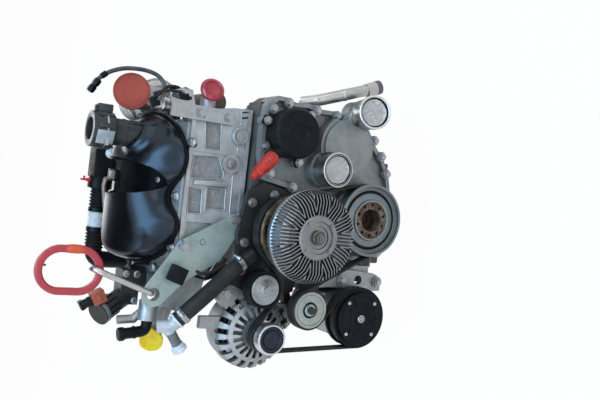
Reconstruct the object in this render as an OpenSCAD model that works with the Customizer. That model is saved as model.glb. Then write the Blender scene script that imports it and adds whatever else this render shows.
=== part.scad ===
// Four-cylinder diesel engine of a van or light truck, complete with its front belt drive.
// Origin: centre of the gearbox face, on the crankshaft axis. The front faces -Y, up is +Z.

/* [Block and head] */
// Distance between neighbouring cylinders
bore_pitch = 108; // [100:1:120]
// Height of the block's top deck above the crankshaft axis
deck_h = 264; // [250:1:300]
// Height of the cylinder head casting
head_h = 128; // [115:1:150]
// Width of the cylinder block
block_w = 270; // [240:2:300]
// Depth of the oil pan below the crankshaft axis
pan_depth = 226; // [200:1:260]
// Length of the flywheel housing
housing_len = 48; // [40:1:60]
// Outer radius of the flywheel housing
housing_r = 214; // [205:1:230]

/* [Crankshaft] */
// Outer radius of the vibration damper
damper_r = 77; // [70:1:84]
// Radius of the crankshaft's main journals
journal_r = 40; // [34:1:44]
// Outer radius of the flywheel
flywheel_r = 150; // [140:1:160]
// Radial clearance of the running bearings
bearing_gap = 0.05; // [0.02:0.01:0.1]

/* [Belt drive] */
// Width of the ribbed belt
belt_w = 24; // [18:1:28]
// Thickness of the ribbed belt
belt_t = 4.6; // [4:0.2:6]
// Distance of the belt's middle plane in front of the block
belt_y = 75; // [70:1:84]
// Belt radius on the fan pulley
fan_pulley_r = 70; // [60:1:74]
// Belt radius on the compressor pulley
compressor_r = 60; // [54:1:64]
// Belt radius on the alternator pulley
alternator_r = 28; // [25:1:31]
// Radius of the two smooth back-side pulleys
idler_r = 37; // [33:1:38]
// Clearance between the belt and each pulley
belt_gap = 0.3; // [0.2:0.1:0.5]

/* [Fan drive] */
// Outer radius of the finned viscous clutch
clutch_r = 90; // [76:1:94]
// Distance of the clutch's front face ahead of the block
clutch_y = 194; // [184:1:206]
// Number of fin groups around the clutch
fin_groups = 12; // [10:1:14]
// Thickness of each cooling fin
fin_t = 2.2; // [1.6:0.2:3]

/* [Alternator] */
// Outer radius of the alternator's front housing
alternator_body_r = 78; // [70:1:80]
// Number of cooling slots in the front housing
alternator_slots = 20; // [16:1:22]

/* [Top cover] */
// Slope of the top cover's seat, in degrees
cover_slope = 18; // [14:1:20]
// Height of the domed top cover above its seat
plenum_h = 54; // [46:1:58]

/* [Hidden] */
$fn = 64;
engine_len = housing_len + 4 * bore_pitch + 40;
block_len = engine_len - housing_len;
head_z = deck_h + 1.5;
head_top = head_z + head_h;
block_x0 = 15 - block_w / 2;
block_x1 = 15 + block_w / 2;
fan_x = -41;
fan_z = 188;
alternator_x = -251;
alternator_z = 217;
compressor_x = -209;
compressor_z = 1;
idler_x = -157;
idler_z = 233;
tensioner_x = -195;
tensioner_z = 123;
inlet_x = 95;
inlet_z = 107;
arm_pivot_x = -128;
arm_pivot_z = 104;
eye_x = -182;
eye_z = head_z + 172.5;
ring_z = head_z + 336.5;
outlet_x = 222;
outlet_z = 26;
separator_x = 156;
separator_z = 199;
starter_x = -flywheel_r - 32;
starter_z = -20;
fan_shaft_r = 14;
cover_y = -50;
plate_y = -24;
clutch_back = clutch_y - 54;
damper_face = belt_y + 22;
sump_end = block_len - 52;
turbo_x = block_x1 + 56;
turbo_z = head_z + 134;
// Open mouth of the turbocharger's inlet tube and the way that it faces
mouth = [205, 116, head_z + 212.5];
mouth_way = [2, -16, 5] / norm([2, -16, 5]);
// Side port of the head, under its round cap, and the way that it faces
port = [212, 20, head_top - 42];
port_way = [0.35, -0.92, 0.17] / norm([0.35, -0.92, 0.17]);
// Open end of the charge pipe, under its leaf-shaped cap, and the way that it faces
charge_knee = [-274, 62, head_z + 132.5];
charge_way = [-0.36, -0.87, 0.33] / norm([-0.36, -0.87, 0.33]);
charge_mouth = charge_knee + 24 * charge_way;
// Ends of the coolant hose and the ways that it leaves them
hose = [[-108, -60.5, 273], [-124, -67, 298], [-188, -55, head_z + 90.5],
    [-226, -42, head_z + 123.5]];
hose_in = (hose[1] - hose[0]) / norm(hose[1] - hose[0]);
hose_out = (hose[3] - hose[2]) / norm(hose[3] - hose[2]);
// Middle of the tee at the hose's upper end and the end of its capped branch
knee = hose[3] + 24 * hose_out;
branch = [-275, -32, head_z + 116.5];
branch_way = (branch - knee) / norm(branch - knee);
// Open end of the coolant outlet and the way that it faces
outlet_lip = [224, -110, 33.4];
outlet_way = [2, -54, 11] / norm([2, -54, 11]);

// ---- placing and shaping helpers -------------------------------------------------

// Moves children from the block's front face to their place ahead of the gearbox face.
module front() { translate([0, -engine_len, 0]) children(); }

// Extrudes an outline drawn in X and Z from y0 back to y1.
module plate(y0, y1) {
    translate([0, y1, 0]) rotate([90, 0, 0]) linear_extrude(y1 - y0) children();
}

// Extrudes an outline drawn in Y and Z from x0 to x1.
module profile(x0, x1) {
    translate([x0, 0, 0]) rotate([90, 0, 90]) linear_extrude(x1 - x0) children();
}

// A round bar along Y.
module bar_y(x, z, y0, y1, r) {
    translate([x, y1, z]) rotate([90, 0, 0]) cylinder(r = r, h = y1 - y0);
}

// A round ring along Y.
module ring_y(x, z, y0, y1, r_out, r_in) {
    translate([x, y1, z]) rotate([90, 0, 0]) linear_extrude(y1 - y0) difference() {
        circle(r_out);
        circle(r_in);
    }
}

// Turns a profile drawn as radius and forward distance about a Y axis.
module turned(x, z) { translate([x, 0, z]) rotate([90, 0, 0]) rotate_extrude() children(); }

module block_box(x0, x1, y0, y1, z0, z1) {
    translate([x0, y0, z0]) cube([x1 - x0, y1 - y0, z1 - z0]);
}

// Rounds both the outer and the inner corners of an outline.
module softened(r) { offset(r) offset(-2 * r) offset(r) children(); }

// A hexagon flange bolt whose head faces the front at y.
module front_bolt(x, z, y, size = 6) {
    bar_y(x, z, y - 3, y, size * 1.45);
    translate([x, y - 3, z]) rotate([90, 0, 0]) cylinder(r = size * 1.1, h = size * 0.9, $fn = 6);
}

// Moves children to point a and turns their +Z axis towards point b.
module aimed(a, b) {
    d = b - a;
    translate(a) rotate([0, atan2(norm([d[0], d[1]]), d[2]), atan2(d[1], d[0])]) children();
}

// A straight round bar between two points.
module strut(a, b, r) { aimed(a, b) cylinder(r = r, h = norm(b - a)); }

// A straight tube between two points, open at both ends.
module sleeve(a, b, r_out, r_in) {
    aimed(a, b) linear_extrude(norm(b - a)) difference() {
        circle(r_out);
        circle(r_in);
    }
}

// A bent round bar through a list of points, with a slightly fuller ball at each inner bend.
module bent_bar(points, r, ball = 1.06) {
    for (i = [0 : len(points) - 2]) strut(points[i], points[i + 1], r);
    for (i = [1 : len(points) - 2]) translate(points[i]) sphere(r * ball);
}

// ---- belt route ------------------------------------------------------------------

// Each stop holds x, z, radius and side: 1 where the ribs touch, -1 where the back does.
stops = [
    [0, 0, damper_r - 6, 1],
    [fan_x, fan_z, fan_pulley_r, 1],
    [idler_x, idler_z, idler_r, -1],
    [alternator_x, alternator_z, alternator_r, 1],
    [compressor_x, compressor_z, compressor_r, 1],
    [tensioner_x, tensioner_z, idler_r, -1]];

function stop(i) = stops[(i + len(stops)) % len(stops)];
function signed_r(i, extra) = stop(i)[3] > 0
    ? stop(i)[2] + belt_gap + extra
    : extra - stop(i)[2] - belt_gap - belt_t;
function run_angle(i) =
    let (a = stop(i), b = stop(i + 1), dx = b[0] - a[0], dz = b[1] - a[1])
    atan2(dz, dx) - asin((signed_r(i + 1, 0) - signed_r(i, 0)) / norm([dx, dz]));
function sweep(i) =
    let (turn = run_angle(i) - run_angle(i - 1))
    stop(i)[3] > 0 ? (turn + 720) % 360 : -((720 - turn) % 360);
function belt_outline(extra) = [
    for (i = [0 : len(stops) - 1])
        let (s = stop(i), n = max(3, ceil(abs(sweep(i)) / 7)))
        for (k = [0 : n])
            let (a = run_angle(i - 1) + sweep(i) * k / n, r = signed_r(i, extra))
            [s[0] + r * sin(a), s[1] - r * cos(a)]];

module ribbed_belt() {
    color("#1b1b1c") front() plate(-belt_y - belt_w / 2, -belt_y + belt_w / 2) difference() {
        polygon(belt_outline(belt_t));
        polygon(belt_outline(0));
    }
}

// ---- block, head and pan ---------------------------------------------------------

module block_section() {
    polygon([[block_x0, deck_h], [block_x1, deck_h], [block_x1, 150], [block_x1 + 12, 70],
        [block_x1 + 12, -58], [block_x0 - 12, -58], [block_x0 - 12, 70], [block_x0, 150]]);
}

// Outline shared by the timing case on the block and its cover.
module timing_outline() {
    softened(5) polygon([[58, 247], [105, 258], [152, 260], [208, 258], [219, 244], [229, 232],
        [229, 212], [222, 190], [225, 158], [218, 126], [219, 84], [205, 38], [188, 0],
        [158, -24], [134, -48], [100, -66], [60, -76], [0, -88], [-62, -76], [-92, -20],
        [-84, 70], [-30, 118], [36, 150], [48, 190]]);
}

module cylinder_block() {
    color("#34383a") front() difference() {
        union() {
            plate(0, block_len) block_section();
            plate(0, 34) timing_outline();
            deck_bar(0);
            block_box(block_x0 - 20, block_x1 + 20, 34.4, block_len, -58, -44);
            for (i = [0 : 3], x = [block_x0 + 44, block_x1 - 44])
                translate([x, 74 + i * bore_pitch, 86]) cylinder(r = 51, h = deck_h - 100);
            for (i = [0 : 4]) block_box(block_x0 - 20, block_x1 + 20,
                16 + i * bore_pitch, 26 + i * bore_pitch, -58, 60);
            plate(block_len - 26, block_len) intersection() {
                circle(housing_r - 6);
                translate([-300, -58]) square([600, deck_h + 58]);
            }
        }
        bar_y(0, 0, -1, block_len + 1, journal_r + bearing_gap);
        bar_y(0, 0, -1, 30, 56);
        bar_y(0, 0, block_len - 14, block_len + 1, 62);
        bar_y(starter_x, starter_z, block_len - 27, block_len + 1, 31);
    }
}

// Thick bar along the front of the deck, grown by the clearance gap where others fit round it.
module deck_bar(gap) {
    block_box(-66 - gap, 214 + gap, -30 - gap, 20, deck_h - 30 - gap, deck_h - 4 + gap);
}

module head_gasket() {
    color("#8d9296") front() difference() {
        block_box(block_x0 - 2, block_x1 + 2, -8, block_len - 2, deck_h, head_z);
        for (i = [0 : 3]) translate([15, 74 + i * bore_pitch, deck_h - 1]) cylinder(r = 48, h = 4);
    }
}

// Pockets in the front wall of the head, each a list of corners.
head_pockets = [
    [[106, -68], [164, -62], [162, -28], [104, -34]],
    [[40, -78], [50, -78], [44, -10], [90, -12], [94, -64], [60, -80]],
    [[-24, -40], [24, -38], [28, -8], [-24, -12]],
    [[-12, -90], [32, -88], [30, -48], [-12, -50]],
    [[-40, -66], [-48, -66], [-92, -10], [-40, -14]]];

module cylinder_head() {
    color("#b9bdc0") front() difference() {
        union() {
            block_box(block_x0 + 2, block_x1, 10, block_len - 6, head_z, head_top);
            plate(-10, 14) polygon([[-116, head_z], [196, head_z], [194, head_z + 40],
                [178, head_top - 8], [170, head_top], [-118, head_top]]);
            for (p = core_plugs) bar_y(p[0], head_z + p[1], -15, -10, 19);
            for (p = bracket_bolts) bar_y(p[0], p[1], plate_y + 0.2, -10, 12);
            block_box(-118, 168, -13, -10, head_top - 8, head_top);
            plate(-13, -10) polygon([[-116, head_z], [196, head_z], [195, head_z + 8],
                [-116, head_z + 8]]);
            block_box(block_x0 - 4, block_x0 + 4, 30, block_len - 30, head_z + 52, head_z + 96);
            block_box(block_x1 - 4, block_x1 + 6, 30, block_len - 30, head_z + 30, head_z + 84);
            strut([140, port[1], port[2]], port, 15);
            translate(port) sphere(15.4);
            strut(port, port + 18 * port_way, 15);
        }
        for (p = head_pockets) plate(-16, -4) translate([0, head_top]) polygon(p);
        for (p = core_plugs) bar_y(p[0], head_z + p[1], -16, 0, 11);
    }
}

// Core plugs in the head's front wall: X and height above the head's lower face.
core_plugs = [[139, 22], [82, 36]];

// Bolts of the front lifting bracket.
bracket_bolts = [[-28, head_z + 20.5], [-88, head_z + 122.5]];

module rocker_cover() {
    rise = 200 * tan(cover_slope);
    color("#aab0b4") front() {
        profile(block_x0 + 4, block_x1 + 2) polygon([[-8, head_top + 0.2], [-8, head_top + 6],
            [200, head_top + 6 + rise], [214, head_top + 38], [block_len - 12, head_top + 38],
            [block_len - 8, head_top + 0.2]]);
        for (x = [-50, 80]) bar_y(x, head_top + 31.6, 212, block_len - 14, 14);
        for (x = [block_x0 - 2, block_x1 - 6])
            block_box(x, x + 14, 16, block_len - 12, head_top + 0.2, head_top + 9);
    }
}

module oil_pan() {
    front_y = 34.4;
    color("#2c2e30") front() difference() {
        union() {
            block_box(block_x0 - 20, block_x1 + 20, front_y, block_len, -66, -58.2);
            profile(-112, 142) polygon([[front_y, -62], [front_y, -104], [44, -114], [118, -122],
                [150, -pan_depth + 12], [164, -pan_depth], [sump_end, -pan_depth],
                [sump_end + 18, -pan_depth + 14], [block_len - 20, -118], [block_len - 20, -62]]);
            for (x = [-90, -30, 30, 90, 120])
                block_box(x, x + 5, 150, sump_end + 10, -pan_depth + 2, -110);
        }
        bar_y(0, 0, block_len - 26.4, block_len + 1, housing_r + 8);
        block_box(-104, 134, 42, 112, -108, -50);
        block_box(-104, 134, 158, sump_end, -pan_depth + 8, -50);
    }
}

// ---- crank end -------------------------------------------------------------------

module timing_cover() {
    color("#a2a9ab") front() difference() {
        union() {
            plate(-34, -0.2) difference() {
                timing_outline();
                translate([140, 60]) circle(26);
            }
            plate(cover_y, -34) difference() {
                timing_outline();
                offset(-9) timing_outline();
            }
            plate(-40, -34) timing_outline();
            bar_y(147, 62, -66, -34, 66);
            bar_y(147, 62, -70, -34, 58);
            for (a = [0 : 45 : 135]) translate([147, -70, 62]) rotate([0, a, 0])
                translate([-50, 0, -1.5]) cube([100, 6, 3]);
            ring_y(0, 0, -46, -34, 66, 57);
            bar_y(inlet_x, inlet_z, -61, -34, 38);
            bar_y(outlet_x, outlet_z, cover_y, -16, 29);
            bar_y(separator_x, separator_z, -54, -34, 47);
            for (b = cover_bolts) bar_y(b[0], b[1], cover_y - 2, -34, 11);
            for (a = separator_ears) bar_y(separator_x + 60 * cos(a), separator_z + 60 * sin(a),
                -56, -34, 9);
        }
        bar_y(0, 0, cover_y - 30, 1, 46);
        bar_y(inlet_x, inlet_z, -70, -36, 30.3);
        bar_y(inlet_x, inlet_z, -75, -61, 36);
        plate(-75, cover_y) offset(0.4) outlet_flange();
        strut(outlet_lip - 60 * outlet_way, outlet_lip, 33.4);
        for (b = cover_bolts) bar_y(b[0], b[1], -75, cover_y - 2, 9.4);
        deck_bar(0.2);
    }
}

// Bolt places around the timing cover.
cover_bolts = [[72, 232], [125, 249], [201, 240], [218, 206], [214, 138], [210, 88], [172, -16],
    [140, -40], [104, -58], [50, 176], [-70, -56], [-84, 40]];

// Directions of the oil separator's three fixing ears, in degrees.
separator_ears = [-43, 72, 204];

module flywheel_housing() {
    color("#8f9599") front() difference() {
        union() {
            plate(block_len, block_len + 8) difference() {
                circle(housing_r);
                circle(70);
            }
            ring_y(0, 0, block_len, engine_len, housing_r - 12, flywheel_r + 14);
            ring_y(0, 0, engine_len - 14, engine_len, housing_r, flywheel_r + 14);
            for (a = [0 : 30 : 330]) rotate([0, a, 0]) translate([housing_r - 16, block_len, -4])
                cube([14, housing_len, 8]);
        }
        for (a = [15 : 45 : 330]) rotate([0, a, 0])
            bar_y(housing_r - 12, 0, block_len - 1, engine_len + 1, 5.5);
        bar_y(starter_x, starter_z, block_len - 1, block_len + 20, 34);
    }
}

module crankshaft() {
    color("#7d8083") front() difference() {
        union() {
            bar_y(0, 0, -62, -50, 23.8);
            bar_y(0, 0, -50, 31, 32);
            bar_y(0, 0, 30.2, block_len - 13, journal_r);
            bar_y(0, 0, block_len - 13.8, block_len + 10, 56);
        }
        bar_y(0, 0, -63, -40, 9);
        bar_y(0, 0, block_len - 20, block_len + 11, 11);
    }
}

module flywheel() {
    teeth = 108;
    color("#5f6366") front() difference() {
        union() {
            ring_y(0, 0, block_len + 10.2, block_len + 36, flywheel_r - 8, 20);
            plate(block_len + 12, block_len + 24) difference() {
                circle(flywheel_r - 4);
                circle(flywheel_r - 10);
            }
            plate(block_len + 13, block_len + 23) for (i = [0 : teeth - 1])
                rotate(i * 360 / teeth) translate([flywheel_r - 6, -1.8]) square([6, 3.6]);
        }
        bar_y(0, 0, block_len + 28, block_len + 37, 96);
        for (a = [0 : 45 : 315]) rotate([0, a, 0])
            bar_y(44, 0, block_len + 9, block_len + 37, 5.2);
    }
}

module damper_hub() {
    face = damper_face;
    color("#6a4c38") front() difference() {
        turned(0, 0) polygon([[24, 50], [24, face - 5], [38, face - 5], [39, face - 2],
            [43, face - 2], [44, face - 5], [56, face - 7], [58, face - 9], [58, 52], [50, 52],
            [50, 50]]);
        for (a = [0 : 36 : 324]) rotate([0, a, 0]) bar_y(33, 0, -face - 1, -60, 3.4);
    }
}

module damper_rubber() {
    color("#141414") front() ring_y(0, 0, -damper_face + 17, -56, 63, 58);
}

module damper_ring() {
    belt_r = damper_r - 6;
    face = damper_face;
    color("#9aa0a2") front() difference() {
        union() {
            ring_y(0, 0, -face + 1, -52, damper_r - 8, 63);
            turned(0, 0) polygon([[64, 52], [damper_r, 52], [damper_r, belt_y - 13],
                [belt_r, belt_y - 12.5], [belt_r, belt_y + 12.5], [damper_r, belt_y + 13],
                [damper_r, face - 2], [damper_r - 3, face], [64, face]]);
        }
        ring_y(0, 0, -face - 1, -face + 9, damper_r - 6, 62);
    }
}

// ---- fan drive -------------------------------------------------------------------

module water_pump_housing() {
    color("#1d1f20") front() difference() {
        union() {
            plate(-44, -30.4) pump_outline();
            plate(-31, -0.2) offset(-12) pump_outline();
            bar_y(fan_x, fan_z, -50, -30, 52);
            for (b = pump_bolts) bar_y(b[0], b[1], -46, -31, 13);
            strut([-96, -50, 252], [-96, -28, 252], 17);
            strut(hose[0] - 26 * hose_in, hose[0] - 0.3 * hose_in, 14.6);
        }
        bar_y(fan_x, fan_z, -60, 1, 12 + bearing_gap);
        plate(-60, 1) offset(0.5) timing_outline();
        deck_bar(0.4);
        block_box(-140, 60, -30.3, 1, deck_h - 0.3, head_z + 40);
        bar_y(bracket_bolts[0][0], bracket_bolts[0][1], -60, 1, 12.4);
        for (b = cover_bolts) bar_y(b[0], b[1], -75, 1, 11.4);
    }
}

module pump_outline() {
    softened(4) polygon([[-128, 236], [-112, 276], [-58, 284], [28, 272], [54, 240],
        [40, 168], [-6, 122], [-72, 122], [-108, 166]]);
}

// Bolts of the water pump housing.
pump_bolts = [[10, 262], [-70, 270], [30, 214], [-104, 190], [-80, 136]];

module fan_pulley() {
    half = belt_w / 2 + 1;
    color("#26282a") front() difference() {
        turned(fan_x, fan_z) polygon([[0, 24], [12, 24], [12, 54], [30, 54], [30, 58],
            [fan_pulley_r - 6, 58], [fan_pulley_r + 4, belt_y - half - 2],
            [fan_pulley_r + 4, belt_y - half], [fan_pulley_r, belt_y - half],
            [fan_pulley_r, belt_y + half], [fan_pulley_r + 4, belt_y + half],
            [fan_pulley_r + 4, belt_y + half + 3], [fan_pulley_r - 6, belt_y + half + 3],
            [fan_pulley_r - 6, 64], [26, 64], [26, belt_y + 19.8],
            [fan_shaft_r, belt_y + 19.8], [fan_shaft_r, clutch_back + 15.5],
            [0, clutch_back + 15.5]]);
        for (a = [0 : 60 : 300]) translate([fan_x, 0, fan_z]) rotate([0, a, 0])
            bar_y(46, 0, -66, -56, 9);
    }
}

module fan_drive_plate() {
    bore = fan_shaft_r + 0.2;
    color("#b3934e") front() turned(fan_x, fan_z) polygon([[bore, belt_y + 20],
        [30, belt_y + 20], [clutch_r - 13, belt_y + 26], [clutch_r - 11, belt_y + 40],
        [clutch_r - 14, belt_y + 40], [clutch_r - 17, belt_y + 30], [30, belt_y + 24],
        [bore, belt_y + 24]]);
}

module fan_clutch() {
    back = clutch_back;
    bore = fan_shaft_r + bearing_gap;
    spacing = 2 * PI * clutch_r / fin_groups / 7.2;
    color("#c3c8cb") front() difference() {
        union() {
            turned(fan_x, fan_z) polygon([[bore, back + 2], [24, back], [clutch_r - 16, back + 2],
                [clutch_r - 2, back + 14], [clutch_r, back + 22], [clutch_r - 4, back + 26],
                [clutch_r - 16, back + 34], [46, clutch_y - 14], [43, clutch_y - 5],
                [40, clutch_y - 3], [31, clutch_y - 3], [30, clutch_y - 6], [22, clutch_y - 6],
                [21, clutch_y - 8], [0, clutch_y - 8], [0, back + 16], [bore, back + 16]]);
            intersection() {
                turned(fan_x, fan_z) polygon([[40, back + 10], [clutch_r - 0.6, back + 14],
                    [clutch_r - 0.6, back + 30], [clutch_r - 8, clutch_y - 8],
                    [clutch_r - 22, clutch_y], [40, clutch_y - 4]]);
                translate([fan_x, 0, fan_z]) for (g = [0 : fin_groups - 1], k = [-3 : 3])
                    rotate([0, g * 360 / fin_groups, 0])
                    translate([max(40, abs(k) * spacing / tan(180 / fin_groups) - 1),
                        -clutch_y, k * spacing - fin_t / 2])
                    cube([clutch_r, clutch_y - back - 12, fin_t]);
            }
            for (a = [45 : 90 : 315]) translate([fan_x, 0, fan_z]) rotate([0, a, 0])
                bar_y(35.5, 0, -clutch_y + 1, -clutch_y + 5, 3);
        }
        for (a = [0 : 60 : 300]) translate([fan_x, 0, fan_z]) rotate([0, a + 15, 0])
            bar_y(56, 0, -back - 12, -back + 2, 4.2);
    }
}

module clutch_thermostat() {
    color("#6b3f26") front() {
        bar_y(fan_x, fan_z, -clutch_y + 3, -clutch_y + 8, 14);
        bar_y(fan_x, fan_z, -clutch_y - 1, -clutch_y + 8, 9);
        bar_y(fan_x, fan_z, -clutch_y - 3, -clutch_y + 8, 4);
    }
}

// ---- accessories -----------------------------------------------------------------

module accessory_bracket() {
    color("#202223") front() difference() {
        union() {
            plate(-34, -14) softened(4) polygon([[-116, 280], [-150, 284], [-190, 262],
                [-182, 196], [-166, 137], [-104, 137], [-104, 176]]);
            plate(-15, -0.2) polygon([[-126, 262], [-186, 306], [-196, 268], [-160, 240],
                [-160, 150], [-222, 140], [-222, 112], [-160, 137], [-104, 137], [-104, 190]]);
            block_box(-160, block_x0 - 0.2, -1, 40, 180, 240);
            bar_y(idler_x, idler_z, -62, -30, 17);
        }
        bar_y(idler_x, idler_z, -64, -20, 6);
        bar_y(alternator_x, alternator_z, -60, 60, alternator_body_r + 0.6);
        plate(-60, 1) offset(0.5) pump_outline();
        for (b = pump_bolts) bar_y(b[0], b[1], -60, 1, 13.4);
        plate(-60, -5.6) alternator_ears(0.4);
    }
}

module compressor_bracket() {
    color("#a9afb2") front() difference() {
        union() {
            plate(-40, -26) softened(3) polygon([[-158, 136], [-104, 136], [-110, 60],
                [-118, -64], [-128, -84], [-156, -84], [-158, -40], [-150, 20]]);
            plate(-28, -0.2) polygon([[-140, 136], [-104, 136], [-104, -56], [-140, -56]]);
            block_box(-158, block_x0 - 20.2, -2, 110, -40, 56);
            bar_y(arm_pivot_x, arm_pivot_z, -42, -30, 26);
            for (z = bracket_feet) bar_y(-136, z, -44, -28, 12);
        }
        bar_y(-134, -22, -45, -20, 10);
        plate(-60, 1) offset(0.5) timing_outline();
    }
}

// Heights of the compressor bracket's two front bolts.
bracket_feet = [-72, 24];

module compressor_body() {
    x = compressor_x;
    z = compressor_z;
    color("#b4b9bc") front() difference() {
        union() {
            bar_y(x, z, -52, 20, 50);
            bar_y(x, z, 20, 110, 48);
            bar_y(x, z, 106, 128, 42);
            for (a = [20 : 60 : 320]) translate([x, 0, z]) rotate([0, a, 0])
                bar_y(46, 0, -10, 118, 7);
            bar_y(x, z, -62, -50, 30);
            block_box(x + 20, -158.2, 30, 60, z - 40, z - 12);
            block_box(x + 20, -158.2, 30, 60, z + 16, z + 48);
            translate([x - 4, 84, z + 40]) cylinder(r = 20, h = 34);
        }
        bar_y(x, z, -63, -18, 8 + bearing_gap);
    }
}

module compressor_pulley() {
    half = belt_w / 2 + 1;
    bore = 30 + bearing_gap;
    r = compressor_r;
    color("#232425") front() turned(compressor_x, compressor_z) polygon([[bore, 54],
        [r, 54], [r + 4, 56], [r + 4, belt_y - half], [r, belt_y - half], [r, belt_y + half],
        [r + 4, belt_y + half], [r + 4, belt_y + half + 2], [r - 1, belt_y + half + 2],
        [34, belt_y + half + 1], [34, 62], [bore, 62]]);
}

module compressor_clutch_plate() {
    face = belt_y + belt_w / 2 + 9;
    color("#2b2c2e") front() {
        ring_y(compressor_x, compressor_z, -face, -face + 5, compressor_r - 5, 20);
        turned(compressor_x, compressor_z) polygon([[0, 20], [8, 20], [8, 62.5], [24, 62.5],
            [24, face - 2], [30, face], [30, face + 4], [24, face + 5], [20, face + 1],
            [0, face + 1]]);
        for (a = [45 : 90 : 315]) translate([compressor_x, 0, compressor_z]) rotate([0, a, 0]) {
            bar_y(compressor_r - 14, 0, -face - 3, -face + 2, 4.5);
            translate([18, -face - 3, -7]) cube([compressor_r - 32, 5, 14]);
        }
        front_bolt(compressor_x, compressor_z, -face - 1, 6);
    }
}

module alternator_window_ring(y0, y1, r_in, r_out, width) {
    translate([alternator_x, 0, alternator_z]) for (i = [0 : alternator_slots - 1])
        rotate([0, i * 360 / alternator_slots, 0])
        translate([r_in, y0, -width / 2]) cube([r_out - r_in, y1 - y0, width]);
}

module alternator_front_housing() {
    r = alternator_body_r;
    hub = 8 + bearing_gap;
    color("#c6cacc") front() difference() {
        union() {
            turned(alternator_x, alternator_z) polygon([[hub, 26], [hub, 48], [38, 48], [52, 42],
                [r - 10, 34], [r - 1, 22], [r, 14], [r, -8], [r - 8, -8], [r - 8, 12],
                [r - 14, 26], [52, 34], [36, 40], [26, 40], [26, 26]]);
            plate(-30, -6) alternator_ears(0);
            block_box(alternator_x + 4, alternator_x + 28, -24, -10, alternator_z + r - 8,
                alternator_z + r + 40);
        }
        alternator_window_ring(-50, -9, r - 18, r + 2, 11);
        alternator_window_ring(-60, -26, 32, r - 26, 8);
    }
}

// Outline of the alternator's two fixing ears, grown by the clearance gap.
module alternator_ears(gap) {
    x = alternator_x;
    z = alternator_z;
    difference() {
        offset(gap) union() {
            softened(4) polygon([[x + 20, z + 40], [-190, 302], [-160, 302], [-158, 276],
                [x + 70, z + 10]]);
            polygon([[x - 10, z - 60], [-218, 116], [-196, 116], [x + 60, z - 40]]);
        }
        translate([x, z]) circle(alternator_body_r - 4);
    }
}

module alternator_stator() {
    color("#8a4a2a") front() ring_y(alternator_x, alternator_z, 8.4, 40, alternator_body_r - 12, 48);
}

module alternator_rear_housing() {
    r = alternator_body_r - 6;
    color("#b5babd") front() difference() {
        turned(alternator_x, alternator_z) polygon([[r, -8.2], [r, -44], [r - 8, -56],
            [r - 20, -62], [0, -62], [0, -56], [r - 24, -56], [r - 6, -44],
            [r - 6, -8.2]]);
        alternator_window_ring(50, 64, 26, r - 14, 8);
    }
}

module alternator_rotor() {
    color("#6f7275") front() {
        turned(alternator_x, alternator_z) polygon([[0, 92], [8, 92], [8, 24], [18, 20],
            [18, 6], [40, 4], [46, 0], [46, -38], [40, -42], [18, -44], [8, -46], [8, -54],
            [0, -54]]);
    }
}

module alternator_pulley() {
    half = belt_w / 2 + 1;
    r = alternator_r;
    color("#b9bec1") front() {
        turned(alternator_x, alternator_z) polygon([[8, 56], [r, 56], [r + 3, 57],
            [r + 3, belt_y - half], [r, belt_y - half], [r, belt_y + half],
            [r + 3, belt_y + half], [r + 3, 108], [r + 1, 110], [r - 2, 110], [r - 2, 104],
            [0, 104], [0, 92], [8, 92]]);
    }
}

module idler_pulley() {
    bore = 14 + bearing_gap;
    color("#1f2021") front() turned(idler_x, idler_z) polygon([[bore, 66], [20, 63],
        [idler_r, 61], [idler_r, belt_y + 14], [idler_r - 4, belt_y + 14],
        [idler_r - 4, belt_y + 8], [20, belt_y + 6], [bore, belt_y + 6]]);
}

module idler_cap() {
    color("#c9cfc8") front() {
        turned(idler_x, idler_z) polygon([[0, 62.2], [14, 62.2], [14, belt_y + 9],
            [30, belt_y + 11], [30, belt_y + 14], [12, belt_y + 16], [0, belt_y + 16]]);
        bar_y(idler_x, idler_z, -64, -24, 5.9);
        front_bolt(idler_x, idler_z, -belt_y - 15, 7);
    }
}

module tensioner_base() {
    color("#2a2c2d") front() difference() {
        union() {
            bar_y(arm_pivot_x, arm_pivot_z, -52, -42.2, 25);
            bar_y(arm_pivot_x, arm_pivot_z, -60, -50, 9.5);
        }
        bar_y(arm_pivot_x, arm_pivot_z, -61, -54, 4);
    }
}

module tensioner_arm() {
    pivot = [arm_pivot_x, arm_pivot_z];
    wheel = [tensioner_x, tensioner_z];
    color("#3a3d3f") front() {
        plate(-58, -52.4) difference() {
            hull() {
                translate(pivot) circle(22);
                translate(wheel) circle(15);
            }
            translate(pivot) circle(9.5 + bearing_gap);
        }
        bar_y(tensioner_x, tensioner_z, -belt_y - 12, -54, 12);
        front_bolt(tensioner_x, tensioner_z, -belt_y - 11, 7.5);
    }
}

module tensioner_pulley() {
    bore = 12 + bearing_gap;
    color("#d8d2bb") front() turned(tensioner_x, tensioner_z) polygon([[bore, 61],
        [idler_r, 61], [idler_r, belt_y + 14], [idler_r - 5, belt_y + 14],
        [idler_r - 6, belt_y + 10], [26, belt_y + 10], [22, belt_y + 7], [bore, belt_y + 7]]);
}

// ---- parts on the timing cover ---------------------------------------------------

module oil_separator() {
    color("#151617") front() {
        turned(separator_x, separator_z) polygon([[0, 54.2], [50, 54.2], [50, 90], [46, 95],
            [20, 95], [18, 93], [0, 93]]);
        for (a = separator_ears) translate([separator_x, 0, separator_z]) rotate([0, -a, 0])
            translate([40, -62, -9]) cube([29, 5.8, 18]);
        strut([128, -78, 220], [106, -81.3, 242], 11);
    }
}

module separator_plug() {
    color("#e8401f") front() {
        strut([105.8, -81.3, 242.2], [68, -87, 280], 14);
        strut([68, -87, 280], [58, -89, 290], 8);
    }
}

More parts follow.
